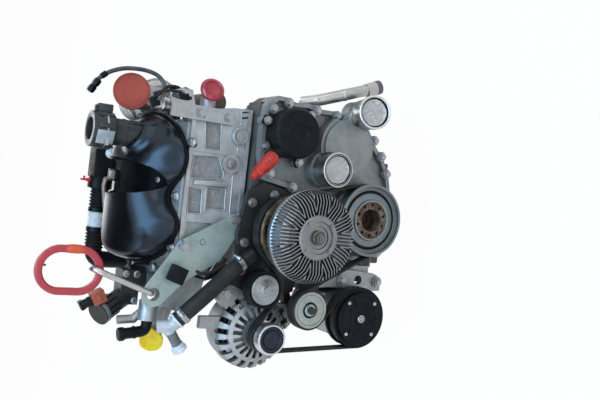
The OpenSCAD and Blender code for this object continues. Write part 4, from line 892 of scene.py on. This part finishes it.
corrugated("breather_left", "black_matte", -128, -86, hides="corrugated_duct")
corrugated("breather_clear", "clear", -86, -44, 17.6, 19.8, 5.25)
corrugated("breather_right", "black_matte", -44, 5)
collars = [turned((x, 236, DUCT_Z), [(18, -5), (20.4, -4.4), (20.4, 4.4), (18, 5)], 40, RIGHT)
           for x in (-86, -44)]
build("breather_collars", "black_satin", *collars, turned((4, 236, DUCT_Z + 2),
        [(20, -2), (25.4, -1.4), (25.8, 1), (25.8, 16), (24.4, 18), (24.4, 24), (20, 26)], 48,
        RIGHT))
pipe("breather_leg", "black_satin", [(-122, 236, DUCT_Z), (-136, 236, DUCT_Z - 0.6),
        (-146, 236, DUCT_Z - 6), (-150, 236, DUCT_Z - 20), (-150, 236, DUCT_Z - 60),
        (-150, 236, 360)], 4, 17.8, 32)
build("breather_box", "black_matte", block(26, 92, 213, 261.6, DUCT_Z - 45.4, DUCT_Z + 23.4),
    *[block(x, x + 5, 210.4, 264, DUCT_Z - 42, DUCT_Z + 20) for x in range(30, 83, 13)],
    block(24.5, 94, 211.6, 263, DUCT_Z - 14, DUCT_Z - 9), bevel=1.6)
build("red_tab", "red_plastic", block(14, 22, 226, 236, DUCT_Z + 20, DUCT_Z + 33),
    block(16, 20, 228, 234, DUCT_Z + 32, DUCT_Z + 46),
    block(20, 26, 228, 234, DUCT_Z + 36, DUCT_Z + 40), bevel=0.7)

# Air duct with its castellated collar.
DUCT_AXIS = (118, 80.1, 0)


def round_duct(shape, degrees):
    """A shape drawn about X 0, Y 0, turned by degrees and moved to the duct's axis."""
    c, s = math.cos(math.radians(degrees)), math.sin(math.radians(degrees))
    flat = [(p.x / MM, p.y / MM + BLOCK_LEN, p.z / MM) for p in shape[0]]
    return [P(DUCT_AXIS[0] + x * c - y * s, DUCT_AXIS[1] + x * s + y * c, z)
            for x, y, z in flat], shape[1]


spun("duct_tube", "duct_plastic", DUCT_AXIS, [(22.2, 452), (22.2, 562.6), (23.4, 563.4),
        (34, 563.4), (34.9, 562.4), (34.9, 551), (33.6, 550), (33.6, 546), (34.9, 545),
        (34.9, 528), (34, 521.6), (32.4, 519.4), (27.4, 518), (26.6, 516), (26.6, 503),
        (27.8, 502), (27.8, 497), (26.6, 496), (26.6, 462), (27.6, 452), (28.4, 444)], 72, UP,
    closed=True, hides="intake_duct")
build("duct_lugs", "duct_plastic",
    *[round_duct(block(5, -5, 33, 37.4, 523, 556), 45 * k - 78) for k in range(8)], bevel=1)
build("duct_plug", "duct_plastic", block(149, 168.6, 71.6, 88.6, 524, 553),
    block(152, 165, 74, 86, 553, 558), bevel=1.4)
build("duct_clip", "zinc",
    turned((118, 80.1, 537), [(35, -1.6), (36, -1.6), (36, 1.6), (35, 1.6)], 60, UP, closed=True),
    block(88, 104, 44.9, 49, 534, 541))
build("duct_latch", "latch_grey", round_duct(block(-14, 14, 34.6, 38.6, 524, 558), 156), bevel=2)
DUCT_RIB = ([P(31.5, 0, 457), P(31.5, 1.4, 457), P(27.2, 0, 495), P(26, 0, 495), P(26, 0, 457),
             P(27.2, 1.4, 495)], [(0, 2, 3, 4), (1, 5, 2, 0), (0, 1, 4), (2, 5, 3), (1, 5, 3, 4)])
build("duct_ribs", "duct_plastic", *[round_duct(DUCT_RIB, t) for t in (225, 255, 285, 315)])


def grips(place, way, count, radius, stops, thick, sides):
    """Bars along a round neck, through stops measured along way."""
    _, a, b = basis(way)
    return [swept([spoke(place + stop * way, a, b, radius, math.tau * k / count)
                   for stop in stops], thick, sides) for k in range(count)]


# EGR valve's motor: a pale rim and cap, an orange clasp and a small plug.
EGR_END = Vector((-230, 42, 514))
EGR_WAY = (EGR_END - Vector((-196, 75, 453))).normalized()
spun("egr_cap", "grey_cap", EGR_END, [(20.4, -7), (23.4, -6.4), (24.1, -4.6), (24.1, 3.6),
        (23.2, 5.2), (17, 5.6), (16, 4.4), (8, 4.2), (7, 5), (2, 5)], 48, EGR_WAY)
build("egr_ribs", "black_satin", *grips(EGR_END, EGR_WAY, 10, 20.4, (-36, -21.5, -7), 1.7, 8),
    smooth=60)
build("egr_clasp", "clasp_orange", block(-212, -186, 20, 44, 512, 538, spin=28),
    block(-206, -192, 14, 30, 522, 532, spin=28), bevel=2.5)
build("egr_plug", "black_satin",
    turned((-205, 36, 528), [(10, -8), (10.5, 0), (10.5, 14), (9, 16), (9, 24), (7, 27),
                             (3, 27.6)], 28, (-0.45, 0.1, 0.9)),
    block(-226, -208, 32, 46, 548, 556, spin=30))
bolts("egr_bolts", "zinc", 4.6, [(x, 51.8, z) for x in (-208, -156) for z in (446, 468)])

# Orange plug of the oil separator's neck.
NECK = Vector((105.8, -81.3, 242.2))
NECK_WAY = (Vector((58, -89, 290)) - NECK).normalized()
spun("neck_plug", "orange", NECK, [(11, 0.4), (13.2, 1), (14, 2.6), (14, 18), (12.6, 19.4),
        (12.6, 23), (13.8, 24), (13.8, 27), (12.4, 28.4), (12.4, 32), (13.4, 33), (13.4, 36),
        (11.6, 38.4), (11.6, 52), (8.2, 54.6), (8.2, 60), (7.2, 61.4), (7.2, 65.6), (6.2, 66.6),
        (2.4, 66.4)], 40, NECK_WAY, hides="separator_plug")
build("neck_plug_grips", "orange", *grips(NECK, NECK_WAY, 12, 13.6, (4, 17), 0.9, 6), smooth=60)

# Lifting ring: the orange weld bulge on its right leg and the small pin at its top.
pipe("ring_bulge", "weld_orange", [(-104.5, -40, 580), (-104.2, -40, 596), (-104.5, -40, 612)],
    1.5, lambda s: 6.6 + 1.6 * math.sin(min(1, s / 32) * math.pi) ** 0.6, 20, body="lifting_ring")
pipe("ring_pin", "red", [(-134, -40, 658), (-134.6, -40, 650), (-135, -40, 643)], 2, 2.1, 12,
    body="lifting_ring")

# Wires, plugs and a small valve between the head and the turbocharger.
pipe("wire_a", "rubber", [(196, 8, 470), (204, -4, 452), (206, -8, 430), (200, -4, 414)], 3, 3.2,
    14)
pipe("wire_b", "rubber",
    [(186, 20, 472), (196, 4, 460), (212, -2, 448), (216, 4, 426), (210, 14, 408)], 3, 3, 14)
pipe("wire_c", "hose_grey", [(168, 30, 462), (184, 8, 462), (198, -6, 444), (196, -10, 424)], 3,
    2.6, 14)
pipe("wire_d", "rubber", [(176, -2, 304), (186, -6, 290), (190, -6, 272), (184, -4, 262)], 3, 4,
    14)
pipe("wire_e", "rubber", [(166, -4, 300), (176, -8, 286), (180, -8, 270)], 3, 2.6, 14)
pipe("wire_f", "rubber", [(-118, -32, 300), (-132, -34, 322), (-138, -30, 346), (-128, -20, 366)],
    3, 3.4, 14)
pipe("wire_g", "rubber", [(-140, 0, 300), (-150, -8, 322), (-146, -12, 348), (-134, -10, 372)], 3,
    3, 14)
build("wire_plug_a", "black_matte", block(190, 204, -12, 2, 404, 424, spin=12),
    block(193, 201, -10, 0, 398, 406, spin=12), bevel=1.5)
build("wire_plug_b", "black_matte", block(202, 218, 6, 20, 392, 410, spin=-14), bevel=1.5)
build("wire_plug_c", "black_matte", block(172, 190, 4, 18, 456, 474, spin=25), bevel=1.5)
spun("wire_clip", "steel", (199, -2, 440), [(7, -4), (7.6, -3), (7.6, 3), (7, 4)], 24,
    (0.1, -0.2, 1))
build("side_valve", "steel", turned((184, 44, 452),
        [(13, -30), (13, 0), (12, 2), (9, 2.6), (9, 12), (7.6, 14), (4, 14.4)], 32, UP),
    turned((184, 44, 436), [(14.4, -4), (15.2, -3), (15.2, 3), (14.4, 4)], 32, UP))
spun("side_valve_brass", "brass", (200, 30, 444),
    [(6.4, 0), (6.4, 7), (5, 8.4), (5, 14), (3.6, 15)], 6, (0.3, -0.9, 0.2))

# ---- castings and fasteners on the head and round the sides ----------------------

# Pockets in the head's front wall, in X and height below the head's top.
HEAD_POCKETS = [
    [(106, -68), (164, -62), (162, -28), (104, -34)],
    [(50, -78), (44, -10), (90, -12), (94, -64), (60, -80)],
    [(-24, -40), (24, -38), (28, -8), (-24, -12)],
    [(-12, -90), (32, -88), (30, -48), (-12, -50)]]


def bead(points, y, r, closed=True):
    """A raised line that follows points in X and Z on a front face at y."""
    path = []
    pairs = list(zip(points, points[1:] + points[:1] if closed else points[1:]))
    for (ax, az), (bx, bz) in pairs:
        steps = max(2, int(math.hypot(bx - ax, bz - az) / 3))
        path += [Vector((ax + (bx - ax) * k / steps, y, az + (bz - az) * k / steps))
                 for k in range(steps)]
    path.append(Vector((pairs[-1][1][0], y, pairs[-1][1][1])))
    return swept(path, r, 8, not closed)


pockets = [[(x, HEAD_TOP + z) for x, z in pocket] for pocket in HEAD_POCKETS]
build("head_pocket_floors", "pocket_cast", *[prism(p, -5.6, -3.8) for p in pockets])
build("head_pocket_beads", "head_cast", *[bead(p, -10, 1.5) for p in pockets], smooth=60)
build("head_rib", "head_cast",
    prism([(34, 305), (45, 304), (43, 360), (42, 376), (33, 377)], -15.5, -9),
    block(-20, 30, -12, -9, 344, 349, spin=2), bevel=1.4)
build("head_lower_beads", "head_cast",
    bead([(-20, 291), (56, 293), (63, 289), (66, 283)], -10, 1.7, False),
    bead([(98, 286), (104, 289), (117, 288)], -10, 1.7, False),
    bead([(161, 288), (190, 290)], -10, 1.7, False), bead([(98, 388), (98, 312)], -10, 1.3, False),
    smooth=60)
spun("core_plug_dish", "zinc_disc", (139, 0, 287.5),
    [(17, 14.8), (17, 16.6), (15.8, 17.6), (12.5, 17.2), (7, 15.9), (3, 15.4), (2.4, 13.6)], 56,
    smooth=35)
spun("core_plug_seat", "head_cast", (82, 0, 301.5), [(11.6, 10), (11.6, 14), (10.4, 14.6)], 40,
    smooth=35)
star_screw("core_plug_screw", "zinc_disc", Vector((82, -14.4, 301.5)), 7)

# Lifting bracket: its pin, and dabs of blue marking paint at its bolts.
spun("bracket_pin", "zinc", (-77, 0, 349.5), [(5.8, 23), (5.8, 26.2), (4.8, 27)], 28, smooth=35)
def dabs(name, y, depth, left, right, rise, spots):
    """Dabs of marking paint, each at X and Z with its half width."""
    build(name, "blue_paint", *[
        prism(rounded([(x - w, z - left), (x + w, z - right), (x + w * rise[0], z + rise[1]),
                       (x - w * rise[2], z + rise[3])]), y, y + depth) for x, z, w in spots])


dabs("paint_dabs", -28.35, 0.45, 2, 3, (0.6, 3, 0.8, 2),
     [(-78, 392, 4), (-87, 398, 3), (-26, 292, 2.4), (-20, 277, 2.6)])
dabs("side_bracket_dabs", -17.5, 0.4, 3, 2, (0.5, 4, 0.9, 3),
     [(172, 386, 2.4), (166, 372, 1.8), (171, 318, 2.6)])

# Hoses and pipes in the gap between the coolant hose and the lifting bracket.
pipe("gap_pipe_brown", "brown_hose",
    [(-92, 14, 372), (-112, 6, 352), (-128, -2, 330), (-124, -6, 306), (-106, -8, 290)], 3, 8.5,
    18)
pipe("gap_pipe_dark", "rubber",
    [(-104, 30, 384), (-136, 26, 358), (-150, 20, 330), (-140, 14, 300), (-120, 10, 284)], 3, 10,
    18)
pipe("gap_pipe_low", "brown_hose",
    [(-160, 24, 350), (-152, 10, 330), (-134, 2, 316), (-112, 0, 312)], 3, 6.5, 18)
pipe("gap_pipe_steel", "steel",
    [(-150, 0, 352), (-142, -8, 338), (-136, -12, 322), (-118, -12, 312)], 3, 3.4, 18)
spun("gap_nuts", "steel", (-147, -4, 345), [(6.4, -5), (6.8, -4.4), (6.8, 4.4), (6.4, 5)], 6,
    (0.5, -0.5, -0.9))
build("gap_block", "black_matte", block(-150, -116, 16, 34, 286, 340),
    block(-146, -128, 2, 18, 296, 312, spin=14), bevel=2)

# The plate that closes the clutch's fins from behind.
spun("clutch_fin_floor", "fin_floor", FAN,
    [(45, 183), (56, 186.6), (66, 186.2), (74, 182.5), (81, 177.5), (87.6, 167)], 128, caps=False,
    body="fan_clutch", smooth=60)

# Rocker cover, exhaust and turbocharger fasteners.
bolts("rocker_bolts", "zinc", 4.6,
    [(x, y, 402.2) for x in (-115, 151) for y in (40, 128, 216, 304, 392, 440)], UP)
bolts("manifold_nuts", "rust", 4.4, [(165.8, y + dy, 322.5 + dz) for y in (66, 174, 282, 390)
        for dy, dz in ((-24, 18), (24, -18))], RIGHT)
build("turbo_clamps", "steel", *[
        turned((206, y, 399.5), [(r, -5), (r + 2.6, -3.4), (r + 2.6, 3.4), (r, 5)], 64, BACK)
        for y, r in ((263, 40), (213, 42), (181, 38))], smooth=35)
spots = [around((206, 0, 399.5), 34, t) for t in range(30, 390, 60)]
bolts("turbo_bolts", "zinc", 3.6, [(x, 322, z) for x, z in spots], BACK)
spots = [around((210, 0, 330), 35.6, 12 * k) for k in range(30)]
build("filter_flutes", "black_satin",
    *[block(x - 1.6, x + 1.6, y - 1.6, y + 1.6, -38, -12) for x, y in spots], bevel=0.5)
bolts("sump_bolts", "zinc", 4.2, [(x, y, -66) for x in (-132, 162) for y in range(60, 441, 54)],
    (0, 0, -1))
spots = [around(HUB, 202, t) for t in range(15, 375, 30) if not 225 < t < 315]
bolts("housing_bolts", "zinc", 5.2, [(x, 472, z) for x, z in spots])

# ---- ribbed belt, whose arc over the tensioner rides on the tensioner's arm ------

BELT_T, BELT_GAP, BELT_W, BELT_Y = 4.6, 0.3, 24, -75
# Each stop holds its middle, radius and side: 1 where the ribs touch, -1 where the back does.
STOPS = [(HUB, 71, 1), (FAN, 70, 1), (IDLER, 37, -1), (ALTERNATOR, 28, 1), (COMPRESSOR, 60, 1),
         (TENSIONER, 37, -1)]
OVER_ARM = STOPS.index((TENSIONER, 37, -1))


def belt_r(i, extra):
    r, way = STOPS[i % 6][1:]
    return r + BELT_GAP + extra if way > 0 else extra - r - BELT_GAP - BELT_T


def run_angle(i):
    """The angle at which the belt leaves stop i for the next."""
    (ax, _, az), (bx, _, bz) = STOPS[i % 6][0], STOPS[(i + 1) % 6][0]
    dx, dz = bx - ax, bz - az
    return math.atan2(dz, dx) - math.asin((belt_r(i + 1, 0) - belt_r(i, 0)) / math.hypot(dx, dz))


SECTION = [(BELT_T - 0.4, BELT_W / 2), (BELT_T, BELT_W / 2 - 0.5), (BELT_T, 0.5 - BELT_W / 2),
           (BELT_T - 0.4, -BELT_W / 2)]
for rib in range(6):
    low = -BELT_W / 2 + 4 * rib
    SECTION += [(2, low), (0.1, low + 1.1), (0.1, low + 2.9)]
SECTION.append((2, BELT_W / 2))


def belt_mesh(rows):
    """The belt along rows, each a list of X and Z for the points of the section."""
    m = len(SECTION)
    return [P(x, BELT_Y + y, z) for row in rows for (x, z), (_, y) in zip(row, SECTION)], (
        strips(len(rows), m) + lids(len(rows), m))


def arc_rows(i):
    """The belt over stop i."""
    (x, _, z), _, way = STOPS[i % 6]
    start = run_angle(i - 1)
    turn = run_angle(i) - start
    sweep = turn % math.tau if way > 0 else -((-turn) % math.tau)
    steps = max(3, math.ceil(abs(sweep) / math.radians(4)))
    angles = [start + sweep * k / steps for k in range(steps + 1)]
    return [[(x + belt_r(i, e) * math.sin(t), z - belt_r(i, e) * math.cos(t)) for e, _ in SECTION]
            for t in angles]


def span_rows(i, steps=12):
    """The straight run from stop i to the next."""
    a, b = arc_rows(i)[-1], arc_rows(i + 1)[0]
    return [[(p[0] + (q[0] - p[0]) * k / steps, p[1] + (q[1] - p[1]) * k / steps)
             for p, q in zip(a, b)] for k in range(steps + 1)]


main_rows = []
for i in range(5):
    main_rows += arc_rows(i)
    if i < 4:
        main_rows += span_rows(i)[1:-1]
build("belt_loop", "belt", belt_mesh(main_rows), smooth=35, hides="ribbed_belt")
build("belt_over_tensioner", "belt", belt_mesh(arc_rows(OVER_ARM)), body="tensioner_arm",
    smooth=35)
for name, i, first, last in (("belt_run_up", OVER_ARM - 1, "engine", "tensioner_arm"),
                             ("belt_run_down", OVER_ARM, "tensioner_arm", "engine")):
    rows = span_rows(i, 24)
    run = build(name, "belt", belt_mesh(rows), body=None, smooth=35)
    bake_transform(run)

# ---- camera, light and floor -----------------------------------------------------

EYE = P(26, -1350, 940)
LENS = 44.29               # mm, on a sensor 36 mm wide
VIEW_DOWN = math.radians(31.147)
VIEW_ROLL = math.radians(-6.485)
forward = Vector((0, math.cos(VIEW_DOWN), -math.sin(VIEW_DOWN)))
side = Vector(RIGHT)
top = side.cross(forward)
# The camera is on its side, so the engine's top points to the picture's left.
picture_right = math.cos(VIEW_ROLL) * -top + math.sin(VIEW_ROLL) * -side
picture_down = math.sin(VIEW_ROLL) * top + math.cos(VIEW_ROLL) * -side
camera_data = bpy.data.cameras.new("camera")
camera_data.lens = LENS
camera_data.sensor_width = 36
camera_data.clip_start = 0.05
camera = new_object("camera", camera_data)
turn = Matrix((picture_right, -picture_down, -forward)).transposed()
camera.matrix_world = Matrix.Translation(EYE) @ turn.to_4x4()
bpy.context.scene.camera = camera
bpy.context.scene.view_settings.view_transform = "Standard"


def area_lamp(name, place, target, size_x, size_y, power, color=(1, 1, 1)):
    data = bpy.data.lights.new(name, "AREA")
    data.shape = "RECTANGLE"
    data.size, data.size_y, data.energy, data.color = size_x, size_y, power, color
    place, target = Vector(place), Vector(target)
    aim = (target - place).to_track_quat("-Z", "Y").to_matrix().to_4x4()
    new_object(name, data).matrix_world = Matrix.Translation(place) @ aim


ENGINE_MIDDLE = (0, -0.45, 0.2)
area_lamp("key", (0, -1.9, 3.1), (0, -0.45, 0.4), 3.6, 1.7, 112, (0.4, 0.7, 1))
area_lamp("front", (0, -3, 1.1), ENGINE_MIDDLE, 2.6, 0.7, 9, (1, 0.98, 0.95))
area_lamp("left", (-2.6, -1.3, 1.3), ENGINE_MIDDLE, 1.6, 1.6, 11, (1, 0.98, 0.96))
area_lamp("right", (2.6, -1.6, 1), ENGINE_MIDDLE, 2, 2, 11, (1, 0.98, 0.96))
area_lamp("back", (0.6, 2.6, 1.6), ENGINE_MIDDLE, 2, 2, 28)


def staged(name, corners, color, rough):
    """A flat sheet of the studio, with its node tree and shader."""
    mesh = bpy.data.meshes.new(name)
    mesh.from_pydata(corners, [], [(0, 1, 2, 3)])
    look, tree, shader = new_material(name)
    plug(tree, shader, {"Base Color": color, "Roughness": rough})
    mesh.materials.append(look)
    sheet = new_object(name, mesh)
    return sheet, tree, shader


# A dark sheet above and behind, as a studio hangs one, keeps the gloss black.
dark_sheet = staged("dark_sheet", [(-1.7, -0.3, 2.5), (1.7, -0.3, 2.5), (1.7, 1.7, 1.9),
                                   (-1.7, 1.7, 1.9)], (0.01, 0.01, 0.011), 1)[0]
dark_sheet.visible_camera = False


def seen_directly(tree):
    """1 for rays from the camera, and for reflected or transmitted ones."""
    rays = node(tree, "LightPath").outputs
    total = rays["Is Camera Ray"]
    for other in ("Is Glossy Ray", "Is Transmission Ray"):
        total = node(tree, "Math", {0: total, 1: rays[other]}, operation="MAXIMUM").outputs[0]
    return total


SKY_COLOR = (0.9, 0.96, 1)      # of the light that the world throws on the engine
SKY_LEVEL = 0.39
world = bpy.data.worlds.new("studio")
bpy.context.scene.world = world
world.use_nodes = True
sky = world.node_tree
plug(sky, sky.nodes["Background"], {
    "Color": node(sky, "Mix", {0: seen_directly(sky), 6: SKY_COLOR, 7: (1, 1, 1)},
                  data_type="RGBA").outputs[2],
    "Strength": node(sky, "MapRange", {"Value": seen_directly(sky), "To Min": SKY_LEVEL,
                                       "To Max": 1}).outputs["Result"]})

# The floor looks white from the camera, but keeps a trace of the engine's shadow.
FLOOR_REACH, FLOOR_DROP, FLOOR_GLOW = 9, 0.0004, 0.97
corners = [(x * FLOOR_REACH, y * FLOOR_REACH - 0.3, CAD_BOX[0][2] - FLOOR_DROP)
           for x, y in ((-1, -1), (1, -1), (1, 1), (-1, 1))]
_, tree, pale = staged("floor", corners, (0.82, 0.82, 0.82), 0.9)
part = node(tree, "Math", {0: seen_directly(tree), 1: FLOOR_GLOW}, operation="MULTIPLY")
glow = node(tree, "Emission", {"Strength": 1})
blend = node(tree, "MixShader", {"Fac": part.outputs[0], 1: pale.outputs[0], 2: glow.outputs[0]})
plug(tree, tree.nodes["Material Output"], {"Surface": blend.outputs[0]})
